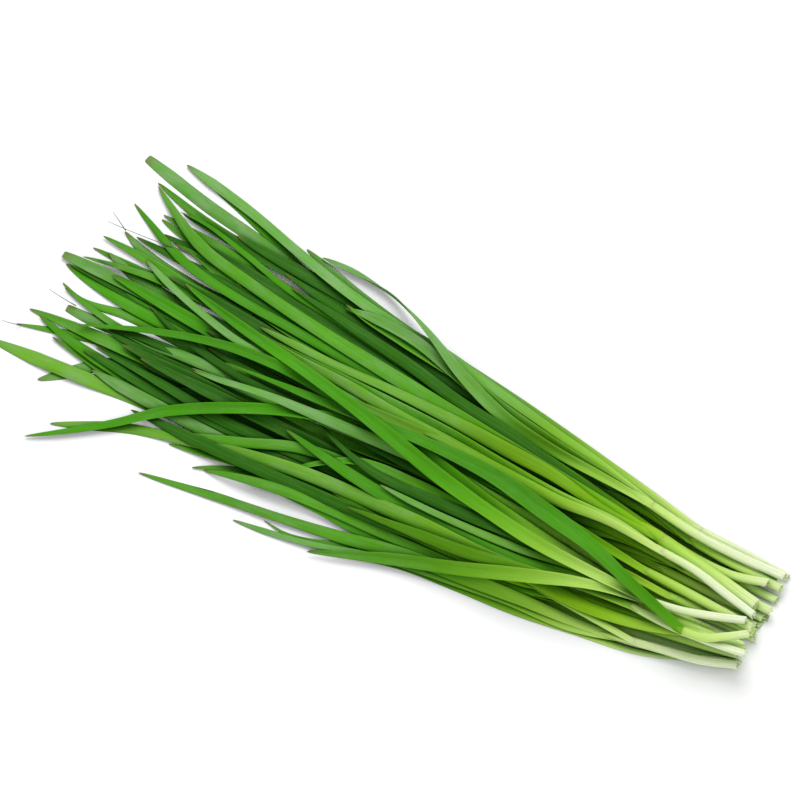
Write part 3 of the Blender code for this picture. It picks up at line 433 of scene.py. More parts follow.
def settle(count, bends, contacts, holds, loads):
    # Heights of least energy for bending strips that lie on contacts under their own weight.
    stiff = np.array([row for row, _ in bends])
    target = np.array([value for _, value in bends])
    first, second, share, least = (np.concatenate(column) for column in zip(*contacts))
    base = stiff.T @ stiff + tinyStiff * np.eye(count)
    pull = stiff.T @ target - loads
    for index, value in holds:
        base[index, index] += holdForce
        pull[index] += holdForce * value
    heights = np.full(count, least.max())
    active = np.ones(len(least), bool)
    for go in range(goes[1]):
        a, b, far, level = (column[active] for column in (first, second, share, least))
        near = 1 - far
        pairs = ((a, a, near * near), (a, b, near * far), (b, a, near * far), (b, b, far * far))
        grip = sum(np.bincount(one * count + other, weight, count * count) for one, other, weight in pairs)
        lift = np.bincount(a, near * level, count) + np.bincount(b, far * level, count)
        solved = np.linalg.solve(base + pushForce * grip.reshape(count, count), pull + pushForce * lift)
        heights = solved if go == 0 else heights + takenShare * (solved - heights)
        now = least > (1 - share) * heights[first] + share * heights[second]
        if go > goes[0] and (now == active).all():
            break
        active = now
    for _ in range(lastLifts):
        reached = (1 - share) * heights[first] + share * heights[second]
        for index in np.nonzero(least - reached > 0)[0]:
            a, b, far = first[index], second[index], share[index]
            lift = least[index] - (1 - far) * heights[a] - far * heights[b]
            if lift > 0:
                heights[[a, b]] += lift
    return heights


def bendRow(count, indexes, offsets, steps, reach):
    # One row of bending energy at the middle of three stations.
    before, after = steps
    weights = (1 / before, -1 / before - 1 / after, 1 / after)
    scale = math.sqrt(reach**3 / ((before + after) / 2))
    row = np.zeros(count)
    value = 0.0
    for index, offset, weight in zip(indexes, offsets, weights):
        row[index] += weight * scale
        value -= weight * scale * offset
    return row, value


def bendRows(count, index, steps, reach, lift=0):
    # The rows along a whole strand, whose first station is raised by lift.
    rows = []
    for middle in range(1, len(index) - 1):
        three, two = index[middle - 1:middle + 2], steps[middle - 1:middle + 1]
        rows.append(bendRow(count, three, (lift if middle == 1 else 0, 0, 0), two, reach))
    return rows


def addLoads(loads, index, weights):
    # Half the weight of each step on each of its ends.
    np.add.at(loads, index[:-1], weights / 2)
    np.add.at(loads, index[1:], weights / 2)


def contactRows(indexes, offset, need, share):
    # What a strand's steps, the first raised by offset, have to stay above: stations, share and level.
    steps, samples = need.shape
    level = need.copy()
    level[0] -= offset * (1 - share)
    return (np.repeat(indexes[:-1], samples), np.repeat(indexes[1:], samples), np.tile(share, steps),
            level.ravel())


def stepsOf(strand):
    return np.hypot(*np.diff(strand.plan, axis=0).T)


def farFrom(place, reach):
    # A test that is true for places further than reach from a place.
    def test(places):
        return np.hypot(places[..., 0] - place[0], places[..., 1] - place[1]) > reach
    return test


def makeStrands(spec, draw):
    # The stem and the leaves of a shoot, as seen, before they are laid.
    width = spec["width"]
    stemRun = smoothRun(spec["stem"], np.linspace(0.0, 1.0, mouthStation + 1))
    ahead = stemRun[-1] - stemRun[-2]
    ahead /= np.hypot(*ahead)
    stemRun = np.vstack([stemRun, stemRun[-1] + ahead * spec["neck"]])
    widths = [width * share for share in stemShares]
    thicks = [one * stemFlat for one in widths[:-1]] + [width * neckFlat]
    stem = Strand(stemRun, widths, thicks, stemSection)
    mouth = stemRun[mouthStation]
    spares = [spareLeaf(mouth, draw) for _ in range(spec["spare"])]
    leaves = [leafStrand(one, mouth, ahead, hiddenSpread) for one in spares]
    spread = hiddenSpread if spec["hidden"] else leafSpread
    leaves += [leafStrand(one, mouth, ahead, spread) for one in spec["leaves"]]
    for strand in leaves:
        swing, phase = math.radians(draw.uniform(*ripple)), draw.uniform(0, 2 * math.pi)
        count = len(strand.seen)
        wave = np.sin(phase + rippleWaves * np.arange(count) / count * math.pi)
        strand.twist += rootFade(count) * swing * wave
    return stem, leaves


def spareLeaf(root, draw):
    # A leaf in a lane of the fan, near its stem's own side.
    length = draw.uniform(*spareLength)
    lane = (root[1] - fanFar[0]) / (fanNear[0] - fanFar[0])
    lane = min(spareLane[1], max(spareLane[0], lane + draw.uniform(-spareStray, spareStray)))
    points = []
    for share in spareShares:
        x = root[0] + length * share
        far, near = np.interp(x, fanX, fanFar), np.interp(x, fanX, fanNear)
        points.append((x, far + (near - far) * lane + draw.uniform(-spareWaver, spareWaver)))
    # spare leaves lie under the others in the deep tone, a darker green that paints the shade inside the
    # bunch
    return leaf(draw.uniform(*spareWidth), *points, tone="deep")


def leafWidths(width, spread, walked, tip, taperLength, ogive):
    # Widths of a leaf at the lengths walked, up to its tip.
    length = walked[-1]
    full = width * (leafRoot + (1 - leafRoot) * smoothStep(walked / spread))
    if spread < hiddenSpread:
        full = full * (1 - leafSlim * smoothStep((walked / length - slimFrom) / (slimTo - slimFrom)))
    taper = np.clip((length - walked) / taperLength, 0.0, 1.0) ** ogive
    if tip == "cut":
        taper = cutTip + (1 - cutTip) * taper
    return full * taper


def leafStrand(one, root, ahead, spread):
    # A leaf from its stem's mouth, with sections at even steps and one at the tip.
    first = np.array(one["points"][0], float)
    places = [tuple(root)]
    if np.hypot(*(first - root)) > rootFar:
        places.append(tuple(root + ahead * rootAhead))
    places += one["points"]
    length = runLength(places)
    count = max(leafLeast, round((length - tipStep) / leafStep))
    walked = np.append(np.linspace(0.0, length - tipStep, count + 1), length)
    run = smoothRun(places, walked / length)
    widths = np.maximum(leafWidths(one["width"], spread, walked, one["tip"], leafTaper, leafOgive), tipWidth)
    thicks = np.interp(walked / length, thickAt, thickRun)
    strand = Strand(run, widths, thicks, leafSection)
    if one["twist"]:
        strand.twist += math.radians(one["twist"]) * np.exp(-((walked / length - twistAt) / twistSpan) ** 2)
    strand.after, strand.tip, strand.tone = one["after"], one["tip"], one["tone"]
    strand.fullWidth, strand.spread = one["width"], spread
    return strand


def easeSideways(strand, heap, slack, rooted):
    # Moves a strand sideways to where it lies lowest. A rooted one keeps its first station.
    count = len(strand.seen)
    free = rootFade(count) if rooted else np.ones(count)
    base, sides = strand.plan.copy(), strand.sides()
    best = None
    for offset in np.linspace(-slack, slack, sideTries):
        strand.plan = base + sides * (offset * free)[:, None]
        level = heap.needs(strand)[0].mean() + sideCost * abs(offset)
        if best is None or level < best[0]:
            best = (level, offset)
    strand.plan = base
    strand.seen = strand.seen + sides * (best[1] * free)[:, None]
    return sides[-1] * best[1]


def followHeap(strand, heap):
    # Rolls a leaf with the slope of what it lies on, and adds its own twist.
    sides = strand.sides()
    reach = np.maximum(strand.widths, feelWidth)[:, None] * feelShare
    left = heap.at(strand.plan + sides * reach)
    right = heap.at(strand.plan - sides * reach)
    slope = np.arctan2(left - right, 2 * reach[:, 0])
    padded = np.pad(slope, 1, mode="edge")
    slope = 0.25 * padded[:-2] + 0.5 * padded[1:-1] + 0.25 * padded[2:]
    roll = np.clip(rollShare * slope, -maxRoll, maxRoll) + strand.twist
    roll[0] = 0.0
    roll[1] *= secondRoll
    strand.roll = roll


def settleShoot(stem, leaves, heap):
    # Stem and leaves together, each leaf joined to the stem's mouth.
    offsets = rootOffsets(len(leaves))
    count = len(stem.seen)
    indexes = []
    for strand in leaves:
        indexes.append([mouthStation] + list(range(count, count + len(strand.seen) - 1)))
        count += len(strand.seen) - 1
    loads = np.zeros(count)
    stemSteps = stepsOf(stem)
    own = list(range(len(stem.seen)))
    bends = bendRows(count, own, stemSteps, stemReach)
    addLoads(loads, own, stemLoad * stemSteps)
    need, share = heap.needs(stem)
    contacts = [contactRows(own, 0.0, need, share)]
    for strand, index, offset in zip(leaves, indexes, offsets):
        steps = stepsOf(strand)
        joint = [mouthStation - 1, mouthStation, index[1]]
        pair = stemSteps[mouthStation - 1], steps[0]
        bends.append(bendRow(count, joint, (0, 0, -offset), pair, leafReach))
        bends += bendRows(count, index, steps, leafReach, offset)
        addLoads(loads, index, steps)
        need, share = heap.needs(strand)
        contacts.append(contactRows(index, offset, need, share))
    heights = settle(count, bends, contacts, [], loads)
    stem.height = heights[:len(stem.seen)]
    for strand, index, offset in zip(leaves, indexes, offsets):
        strand.height = heights[index]
        strand.height[0] += offset


def rootOffsets(count):
    # Heights of the leaves' roots above and below the middle of the mouth.
    return [(place - (count - 1) / 2) * rootStack for place in range(count)]


def settleLeaf(strand, stem, heap, fixed=1, keep=None):
    # One leaf on the heap, with its first stations held where they are.
    count = len(strand.seen) + 1
    index = list(range(1, count))
    steps = stepsOf(strand)
    slopeStep = stepsOf(stem)[mouthStation - 1]
    start = strand.height[0] - (stem.height[mouthStation] - stem.height[mouthStation - 1])
    bends = [bendRow(count, (0, 1, 2), (0, 0, 0), (slopeStep, steps[0]), leafReach)]
    bends += bendRows(count, index, steps, leafReach)
    loads = np.zeros(count)
    addLoads(loads, index, steps)
    need, share = heap.needs(strand, keep)
    holds = [(0, start)] + [(index[place], strand.height[place]) for place in range(fixed)]
    need[:fixed - 1] = noNeed
    contact = contactRows(index, 0.0, need, share)
    held = strand.height[:fixed].copy()
    strand.height = settle(count, bends, [contact], holds, loads)[1:]
    strand.height[:fixed] = held


def layShoot(stem, leaves, heap, slack):
    # Settles a shoot on the heap, then its leaves on one another, and adds them to the heap.
    strands = [stem, *leaves]
    moved = easeSideways(stem, heap, slack[0], rooted=False)
    for strand in leaves:
        strand.seen = strand.seen + moved * (1.0 - rootFade(len(strand.seen)))[:, None]
    for go in range(layGoes):
        for strand in strands:
            strand.plan = strand.placed()
        if go == 1:
            for strand in leaves:
                easeSideways(strand, heap, slack[1], rooted=True)
                strand.plan = strand.placed()
        for strand in leaves:
            followHeap(strand, heap)
        settleShoot(stem, leaves, heap)
    for strand in strands:
        strand.plan = strand.placed()
    settleShoot(stem, leaves, heap)
    seat(stem)
    own = heap.copy()
    clearRoot = farFrom(stem.plan[mouthStation], ownClear)
    for strand in leaves:
        settleLeaf(strand, stem, own)
        own.add(strand, clearRoot)
    heap.add(stem)
    for strand in leaves:
        if strand.after:
            heap.add(strand, lambda places: places[..., 0] < liftFrom)
        else:
            heap.add(strand)


def seat(stem):
    # Sets the stations of a stem that are all but on the table exactly on it.
    under = np.array([line[1][1] for _, line in stem.sections])
    stem.height = np.where(stem.height + under < seatGap, -under, stem.height)


def layRest(strand, stem, heap):
    # Lays the rest of a leaf whose root lies under a later shoot.
    fixed = int((strand.plan[:, 0] < liftFrom).sum())
    for _ in range(restGoes):
        strand.plan[fixed:] = strand.placed()[fixed:]
        settleLeaf(strand, stem, heap, fixed, lambda places: places[..., 0] > liftFrom + liftSeam)
    heap.add(strand)


def layBunch():
    # All shoots, from the lowest up, each as its numbers, its stem and its leaves.
    draw = random.Random(layingSeed)
    heap = Heap()
    laid, waiting = [], []
    for spec in shoots:
        stem, leaves = makeStrands(spec, draw)
        slack = (slackStem, slackLeaf) if spec["hidden"] else (slackSeen, slackSeen)
        layShoot(stem, leaves, heap, slack)
        laid.append((spec, stem, leaves))
        waiting += [(strand, stem) for strand in leaves if strand.after]
        for strand, ownStem in list(waiting):
            if strand.after == spec["name"]:
                layRest(strand, ownStem, heap)
                waiting.remove((strand, ownStem))
    return laid


def ring(strand, place):
    # The corners of a strand's section at one of its stations.
    over, under = strand.lines(0)[place], strand.lines(1)[place]
    points = list(over) + [point for point in under[::-1] if not any(np.allclose(point, o) for o in over)]
    height = np.array([0.0, 0.0, strand.height[place]])
    return [point + height for point in points]


def bunchCentre(laid):
    # The middle of the solids' box on the table, which is the frame's origin.
    points = []
    for _, stem, leaves in laid:
        points += [point for place in range(mouthStation + 1) for point in ring(stem, place)]
        for strand in leaves:
            points += [point for place in range(len(strand.seen)) for point in ring(strand, place)]
    points = np.array(points)
    low, high = points.min(axis=0), points.max(axis=0)
    return np.array([(low[0] + high[0]) / 2, (low[1] + high[1]) / 2, low[2]])


# Colours of the leaves, linear, and how much of them the wax bloom, partly a painted sheen, whitens; the deep
# tone is a darker green that also paints the shade inside the bunch
leafTones = {
    "milky": ((0.112, 0.345, 0.038), 1.0),
    "light": ((0.135, 0.375, 0.014), 0.55),
    "mid": ((0.078, 0.305, 0.005), 0.40),
    "fresh": ((0.056, 0.278, 0.001), 0.15),
    "yellow": ((0.112, 0.335, 0.001), 0.12),
    # a darker green, partly painted shade for leaves that lie low in the bunch
    "deep": ((0.023, 0.132, 0.001), 0.12),
    "olive": ((0.072, 0.225, 0.001), 0.10),
}

bladeLook = {
    "rowStep": 2.5,          # length between two rows of a blade
    "tipRows": (1.3, 0.5),   # extra rows, this far before the end
    "thick": 0.66,           # share of the solid's thickness
    "tipThins": (14.0, 0.35),       # how far from its tip a blade gets thinner, and the share left at the tip
    # how far the edges stand up at lengths from the root, as a share of the width
    "foldAt": (0.0, 16.0, 55.0),
    "keelUp": (0.0, -0.20, -0.07),      # with the keel on the upper side, or as a channel
    "channel": (0.0, 0.22, 0.11),
    "keelShare": 0.6,        # of the blades that show their keel
    "greenAhead": {"top_olive": 55.0, "near_tall": 25.0},   # shoots whose blades are green from lower down
    # the root of a blade inside its stem: where, and how wide
    "startInside": ((-4.5, 0.55), (-2.5, 0.8), (-0.9, 0.93)),
    "rootClose": 0.97,       # width of a root against its stem's mouth, and how fast it may open
    "rootOpening": 0.09,
    "taper": 30.0,           # distance over which the tip narrows, and how full the narrowing is
    "bluntTaper": {"milky": 13.0, "light": 19.0},       # the milky leaves have rounder tips
    "ogive": 0.5,
    "tipHalfWidth": 0.16,
    "wobble": 5.0,           # how far a blade turns to and fro along its length, degrees
    "wobbleLength": (14.0, 24.0),
    "wobbleGrows": 60.0,     # length from the root over which that starts
    "waver": 0.035,          # how much the width wavers
    "waverLength": (8.0, 15.0),
    "waverEnds": 30.0,       # distance from the tip over which that ends
    "toneSpread": 0.10,
    "nudgeAt": (0.0, 0.3, 0.75, 1.0),   # shares of the length where a blade's shifts below are reached
    "nudgeRows": 6,          # rows to each side that they are smoothed over
}

# How far a few blades lie beside their solids, at three quarters of their length and at the tip
tipNudges = {
    ("near_white", 1): ((1, -2.5), (0.5, -1.5)),
    ("low_h", 3): ((1, -2), (0.5, -1)),
    ("low_d", 2): ((2, -3.5), (1, -3.5)),
    ("low_e", 3): ((0.5, -1.5), (1, -1.5)),
    ("far_pale", 0): ((-1, -1.5), (-1, -1)),
    ("far_edge", 0): ((0.5, -4), (-0.5, -1)),
    ("far_edge", 1): ((0.5, 2.5), (0.5, 1.5)),
    ("low_a", 1): ((0, 0.5), (0, 0)),
    ("low_g", 1): ((0.5, -2), (1, -1.5)),
    ("middle_olive", 2): ((-0.5, 1), (-2.5, 0)),
    ("near_light", 1): ((1, -1.5), (1, -1.5)),
    ("low_f", 1): ((0.5, -1), (3, -3.5)),
    ("low_e", 1): ((0.5, -1), (1, -1.5)),
    ("near_white", 0): ((0.5, -1.5), (0, -0.5)),
    ("far_white", 2): ((-0.5, -3), (-0.5, 0)),
    ("low_b", 0): ((0.5, -1), (0.5, 2)),
}

stemLook = {
    "rowStep": 1.6,
    # share of the width and depth from the cut, of the layers that its face shows
    "cutLayers": ((1.0, 0.8), (0.975, 0.42), (0.90, 0.1), (0.84, 0.0), (0.72, 0.12), (0.68, 0.55),
                  (0.52, 0.1), (0.47, 0.5), (0.25, 0.2)),
    "cutSlant": 0.30,
    "fuller": {"far_pale": 1.18},       # stems that are wider than the solid's
    "sheathShare": 0.55,     # where the outer sheath of a white stem ends, along the stem
    "sheathStep": 0.955,
    "mouthEase": 4.0,        # length over which the stem eases into its neck, and its size at the mouth
    "mouthSize": 0.96,
    "mouthRim": ((0.06, 1.0), (0.0, 1.0), (0.3, 0.93), (1.2, 0.7)),     # its rows: how far back, how wide
    # the neck: shares of the way from the mouth to its end, and its size against the mouth
    "neckAt": (-0.12, 0.0, 0.15, 0.35, 0.6, 0.85, 1.05),
    "neckSize": (0.90, 0.955, 0.95, 0.88, 0.70, 0.45, 0.15),
}

scrapLook = {
    "count": 5,              # torn fibres at each cut
    "length": (0.5, 1.7),
    "around": (0.1, 2 * math.pi),
    "reach": (0.55, 0.85),   # how far from the stem's middle they start, as a share of its half width
    "sunk": 0.7,             # length inside the stem
    "sideways": 0.35,        # how far they point away from the stem's line, sideways and up
    "upward": (-0.12, 0.2),
    "lowest": 0.15,          # height above the table
    "halfWidth": 0.22,
    "taper": (1.0, 1.0, 0.95, 0.8, 0.5, 0.15),
    "flat": 0.45,
    "fromCut": 2.0,
}

# What the tree is given for each kind of piece
bladeSweep = {"Ring points": 20, "Edge fullness": 0.6, "Groove depth": 0.55,
              "Rib count": 0.0, "Rib depth": 0.0}
stemSweep = {"Ring points": 28, "Edge fullness": 0.92, "Groove depth": 0.0,
             "Rib count": 13.0, "Rib depth": 0.012}
threadSweep = {"Ring points": 6, "Edge fullness": 1.0, "Groove depth": 0.0,
               "Rib count": 0.0, "Rib depth": 0.0}

upright = np.array([0.0, 0.0, 1.0])
farFromTip = 99.0           # given to what has no leaf tip, so that it shows no brown


def newObject(name, data):
    made = bpy.data.objects.new(name, data)
    bpy.context.scene.collection.objects.link(made)
    return made


def newSkin(name):
    # A material, with its node tree and its shader's inputs.
    material = bpy.data.materials.new(name)
    material.use_nodes = True
    return material, material.node_tree, material.node_tree.nodes["Principled BSDF"].inputs


def chanceTone(name, draw):
    # A leaf tone, a little lighter or darker by chance, and its wax.
    base, wax = leafTones[name]
    return np.array(base) * (1 + draw.uniform(-bladeLook["toneSpread"], bladeLook["toneSpread"])), wax


def placeOf(strand, station):
    return np.append(strand.plan[station], strand.height[station])


def finerRows(strand, stations, step):
    # Rows along a strand: length from its first station, place, side and up vectors.
    knots = np.column_stack([strand.plan, strand.height, strand.roll])[:stations]
    along = walkedAlong(knots)
    fine = np.linspace(0.0, along[-1], round(along[-1] / step) + 1)
    fine = np.concatenate([fine[:-1], along[-1] - np.array(bladeLook["tipRows"]), fine[-1:]])
    rows = hermiteRun(knots, along, fine)
    flat = np.column_stack([sidesOf(np.gradient(rows, fine, axis=0)), np.zeros(len(fine))])
    turn, lean = np.cos(rows[:, 3])[:, None], np.sin(rows[:, 3])[:, None]
    return fine, rows[:, :3], flat * turn + upright * lean, upright * turn - flat * lean


def chain(places, sideways, upward, halfWidth, halfThick, edgeLift, fromCut, fromTip, tone,
          wax=0.3, flat=1.0):
    # One blade or stem as a row of points with what the tree and the skins need at each of them.
    values = {"halfWidth": halfWidth, "halfThick": halfThick, "edgeLift": edgeLift, "fromCut": fromCut,
              "fromTip": fromTip, "wax": wax, "flat": flat}
    count = len(places)
    row = {name: np.broadcast_to(np.asarray(value, float), count) for name, value in values.items()}
    vectors = {"sideways": sideways, "upward": upward, "tone": tone}
    row.update({name: np.broadcast_to(value, (count, 3)) for name, value in vectors.items()})
    row["places"] = places
    return row


def bladeChain(strand, rootAt, stem, draw, nudge=None):
    # A blade along its solid, from inside the mouth of its stem to its tip.
    look = bladeLook
    walked, places, sideways, upward = finerRows(strand, len(strand.seen), look["rowStep"])
    length = walked[-1]
    left = length - walked
    if nudge:
        run = np.array([(0.0, 0.0), (0.0, 0.0), *nudge])
        window = 2 * look["nudgeRows"] + 1
        for axis in range(2):
            shift = np.interp(walked / length, look["nudgeAt"], run[:, axis])
            shift = np.pad(shift, look["nudgeRows"], mode="edge")
            places[:, axis] += np.convolve(shift, np.full(window, 1 / window), mode="valid")

    taper = look["bluntTaper"].get(strand.tone, look["taper"])
    wide = leafWidths(strand.fullWidth, strand.spread, walked, strand.tip, taper, look["ogive"])
    phase = draw.uniform(0, 2 * math.pi)
    wave = np.sin(walked / draw.uniform(*look["waverLength"]) + phase)
    wide = wide * (1 + look["waver"] * wave * np.clip(left / look["waverEnds"], 0, 1))
    halfWidth = np.maximum(wide / 2, look["tipHalfWidth"])
    mouthWide = stemHalves(stem, mouthStation)[0]
    halfWidth = np.minimum(halfWidth, mouthWide * look["rootClose"] + look["rootOpening"] * walked)
    thinFrom, thinShare = look["tipThins"]
    thick = np.interp(walked / length, thickAt, thickRun)
    thick = thick * look["thick"] * np.interp(left, (0.0, thinFrom), (thinShare, 1.0))
    shape = "keelUp" if draw.random() < look["keelShare"] else "channel"
    fold = np.interp(walked, look["foldAt"], look[shape])
    tone, wax = chanceTone(strand.tone, draw)

    wave = np.sin(walked / draw.uniform(*look["wobbleLength"]) + draw.uniform(0, 2 * math.pi))
    turn = (math.radians(look["wobble"]) * wave * np.clip(walked / look["wobbleGrows"], 0, 1))[:, None]
    sideways, upward = (sideways * np.cos(turn) + upward * np.sin(turn),
                        upward * np.cos(turn) - sideways * np.sin(turn))

    mouth, before = placeOf(stem, mouthStation), placeOf(stem, mouthStation - 1)
    ahead = (mouth - before) / np.linalg.norm(mouth - before)
    back, shares = np.array(look["startInside"]).T
    inside = mouth + (places[0] - mouth) * shares[:, None] + ahead * back[:, None]
    places = np.vstack([inside, places])
    halfWidth = np.concatenate([halfWidth[0] * shares, halfWidth])
    walked = np.concatenate([back, walked])
    sideways, upward, thick, fold, left = (np.concatenate([[one[0]] * len(back), one])
                                           for one in (sideways, upward, thick, fold, left))
    return chain(places, sideways, upward, halfWidth, thick / 2, fold * 2 * halfWidth, rootAt + walked, left,
                 tone, wax)


def neckChain(stem, rootAt, tone):
    # The neck that the leaves come out of, from inside the stem's mouth.
    shares, size = np.array(stemLook["neckAt"]), np.array(stemLook["neckSize"])
    mouth, end = placeOf(stem, mouthStation), placeOf(stem, mouthStation + 1)
    places = mouth + (end - mouth) * shares[:, None]
    step = math.hypot(*(end - mouth)[:2])
    side = np.append(sidesOf((end - mouth)[None])[0], 0.0)
    wide, thick = stemHalves(stem, mouthStation)
    return chain(places, side, upright, wide * size, thick * size, 0.0, rootAt + shares * step, farFromTip,
                 tone, flat=0.0)


def stemHalves(stem, station):
    # Half the width and half the thickness of a stem.
    over = stem.sections[station][0]
    return over[-1][0], over[1][1]


def stemChain(stem, pale, tone, draw):
    # A stem from its cut end, with the layers of its cut, to the rim of its mouth.
    look = stemLook
    walked, places, sideways, upward = finerRows(stem, mouthStation + 1, look["rowStep"])
    halves = np.array([stemHalves(stem, station) for station in range(mouthStation + 1)])
    at = np.linspace(0.0, walked[-1], mouthStation + 1)
    wide, thick = (np.interp(walked, at, halves[:, column]) for column in range(2))
    size = np.ones(len(walked))
    if pale:
        size[walked > look["sheathShare"] * walked[-1]] = look["sheathStep"]
    mouthShare = look["mouthSize"] / size[-1]
    size = size * np.interp(walked, (walked[-1] - look["mouthEase"], walked[-1]), (1.0, mouthShare))

    last = len(walked) - 1
    rows = [(walked[0] + depth, share, 0) for share, depth in reversed(look["cutLayers"])]
    rows += [(walked[row], size[row], row) for row in range(1, last)]
    rows += [(walked[-1] - back, size[-1] * share, last) for back, share in look["mouthRim"]]
    along, size, index = (np.array(column) for column in zip(*rows))
    ahead = (places[1] - places[0]) / (walked[1] - walked[0])
    onward = (places[-1] - places[-2]) / (walked[-1] - walked[-2])
    atCut = index == 0
    spots = places[index] + (along - walked[index])[:, None] * np.where(atCut[:, None], ahead, onward)
    sideways, upward = sideways[index], upward[index]
    sideways[atCut] += ahead * draw.uniform(-1, 1) * look["cutSlant"]
    upward[atCut] += ahead * draw.uniform(-1, 1) * look["cutSlant"]
    return chain(spots, sideways, upward, wide[index] * size, thick[index] * size, 0.0, along, farFromTip,
                 tone, flat=0.0)


def scrapChains(stem, draw):
    # Short torn fibres that stand out of the rim of a cut.
    look = scrapLook
    wide, thick = stemHalves(stem, 0)
    cut = placeOf(stem, 0)
    back = cut - placeOf(stem, 1)
    back /= np.linalg.norm(back)
    side = np.array([-back[1], back[0], 0.0])
    taper = np.array(look["taper"])
    size = look["halfWidth"] * taper
    made = []
    for _ in range(look["count"]):
        angle, length = draw.uniform(*look["around"]), draw.uniform(*look["length"])
        reach = draw.uniform(*look["reach"])
        rim = side * math.cos(angle) * wide * reach + upright * math.sin(angle) * thick * reach
        away = back + side * draw.uniform(-look["sideways"], look["sideways"])
        away = away + upright * draw.uniform(*look["upward"])
        run = np.linspace(0.0, length + look["sunk"], len(taper))[:, None]
        places = cut + rim - back * look["sunk"] + away * run
        places[:, 2] = np.maximum(places[:, 2], look["lowest"])
        made.append(chain(places, side, upright, size, size * look["flat"], 0.0,
                          np.linspace(look["fromCut"], 0.0, len(taper)), farFromTip, leafTones["light"][0],
                          flat=0.0))
    return made


# Geometry Nodes: one tree sweeps every blade, stem and thread

treeInputs = (("Geometry", "Geometry"), ("Ring points", "Int"), ("Edge fullness", "Float"),
              ("Groove depth", "Float"), ("Rib count", "Float"), ("Rib depth", "Float"), ("Skin", "Material"),
              ("Lowest", "Vector"))
lowestPlace = (-10.0, -10.0, 0.0)   # nothing goes below the table
grooveSharpness = 14.0
foldSharpness = 1.5


def plug(tree, socket, value):
    # Links a node's output to the socket, or gives the socket a plain value.
    if isinstance(value, bpy.types.NodeSocket):
        tree.links.new(value, socket)
    else:
        socket.default_value = value


def addNode(tree, kind, inputs=None, **settings):
    node = tree.nodes.new(kind)
    for name, value in settings.items():
        setattr(node, name, value)
    for name, value in (inputs or {}).items():
        plug(tree, node.inputs[name], value)
    return node


def addMath(tree, operation, *values):
    return addNode(tree, "ShaderNodeMath", dict(enumerate(values)), operation=operation).outputs[0]


def times(tree, *values):
    # The product of the values, from the first on.
    result = values[0]
    for value in values[1:]:
        result = addMath(tree, "MULTIPLY", result, value)
    return result


def addVector(tree, operation, first, second):
    inputs = {0: first, "Scale" if operation == "SCALE" else 1: second}
    return addNode(tree, "ShaderNodeVectorMath", inputs, operation=operation).outputs[0]


def named(tree, name, kind="FLOAT"):
    node = addNode(tree, "GeometryNodeInputNamedAttribute", {"Name": name}, data_type=kind)
    return node.outputs["Attribute"]


def store(tree, geometry, name, value, kind):
    inputs = {"Geometry": geometry, "Name": name, "Value": value}
    return addNode(tree, "GeometryNodeStoreNamedAttribute", inputs, data_type=kind, domain="POINT").outputs[0]


def makeStrandTree():
    # Sweeps a ring along each row of points and shapes it with the values that the points carry.
    tree = bpy.data.node_groups.new("strandSweep", "GeometryNodeTree")
    for name, kind in treeInputs:
        socket = tree.interface.new_socket(name, in_out="INPUT", socket_type="NodeSocket" + kind)
        if name == "Lowest":
            socket.default_value = lowestPlace
    tree.interface.new_socket("Geometry", in_out="OUTPUT", socket_type="NodeSocketGeometry")
    given = tree.nodes.new("NodeGroupInput").outputs
    result = tree.nodes.new("NodeGroupOutput")

    place = tree.nodes.new("GeometryNodeInputPosition").outputs[0]
    line = addNode(tree, "GeometryNodeMeshToCurve", {"Mesh": given["Geometry"]}).outputs[0]
    line = store(tree, line, "spot", place, "FLOAT_VECTOR")
    circle = addNode(tree, "GeometryNodeCurvePrimitiveCircle", {"Resolution": given["Ring points"]})
    parts = addNode(tree, "ShaderNodeSeparateXYZ", {0: place}).outputs
    ring = store(tree, circle.outputs["Curve"], "across", parts[0], "FLOAT")
    ring = store(tree, ring, "over", parts[1], "FLOAT")
    swept = addNode(tree, "GeometryNodeCurveToMesh", {"Curve": line, "Profile Curve": ring,
                                                      "Fill Caps": True})

    across, over, flat = named(tree, "across"), named(tree, "over"), named(tree, "flat")
    halfThick, halfWidth = named(tree, "halfThick"), named(tree, "halfWidth")
    ringHeight = addMath(tree, "ABSOLUTE", over)
    angle = addMath(tree, "ARCTAN2", over, across)
    rib = times(tree, addMath(tree, "COSINE", times(tree, angle, given["Rib count"])), given["Rib depth"])
    rib = addMath(tree, "ADD", rib, 1.0)
    fullness = times(tree, flat, addMath(tree, "SUBTRACT", given["Edge fullness"], 1.0))
    full = addMath(tree, "POWER", ringHeight, addMath(tree, "ADD", 1.0, fullness))
    rise = times(tree, full, addMath(tree, "SIGN", over), rib, halfThick)
    groove = addMath(tree, "POWER", ringHeight, grooveSharpness)
    groove = times(tree, groove, times(tree, flat, given["Groove depth"]))
    lift = addMath(tree, "POWER", addMath(tree, "ABSOLUTE", across), foldSharpness)
    lift = times(tree, lift, named(tree, "edgeLift"))
    height = addMath(tree, "SUBTRACT", addMath(tree, "ADD", rise, lift), times(tree, groove, halfThick))
    reach = times(tree, across, rib, halfWidth)
    moved = addVector(tree, "ADD", addVector(tree, "SCALE", named(tree, "sideways", "FLOAT_VECTOR"), reach),
                      addVector(tree, "SCALE", named(tree, "upward", "FLOAT_VECTOR"), height))
    moved = addVector(tree, "ADD", named(tree, "spot", "FLOAT_VECTOR"), moved)
    moved = addVector(tree, "MAXIMUM", moved, given["Lowest"])
    shaped = addNode(tree, "GeometryNodeSetPosition", {"Geometry": swept.outputs[0], "Position": moved})
    smooth = addNode(tree, "GeometryNodeSetShadeSmooth", {"Geometry": shaped.outputs[0]})
    whole = addNode(tree, "GeometryNodeRealizeInstances", {"Geometry": smooth.outputs[0]})
    skinned = addNode(tree, "GeometryNodeSetMaterial", {"Geometry": whole.outputs[0],
                                                        "Material": given["Skin"]})
    tree.links.new(skinned.outputs[0], result.inputs[0])
    return tree


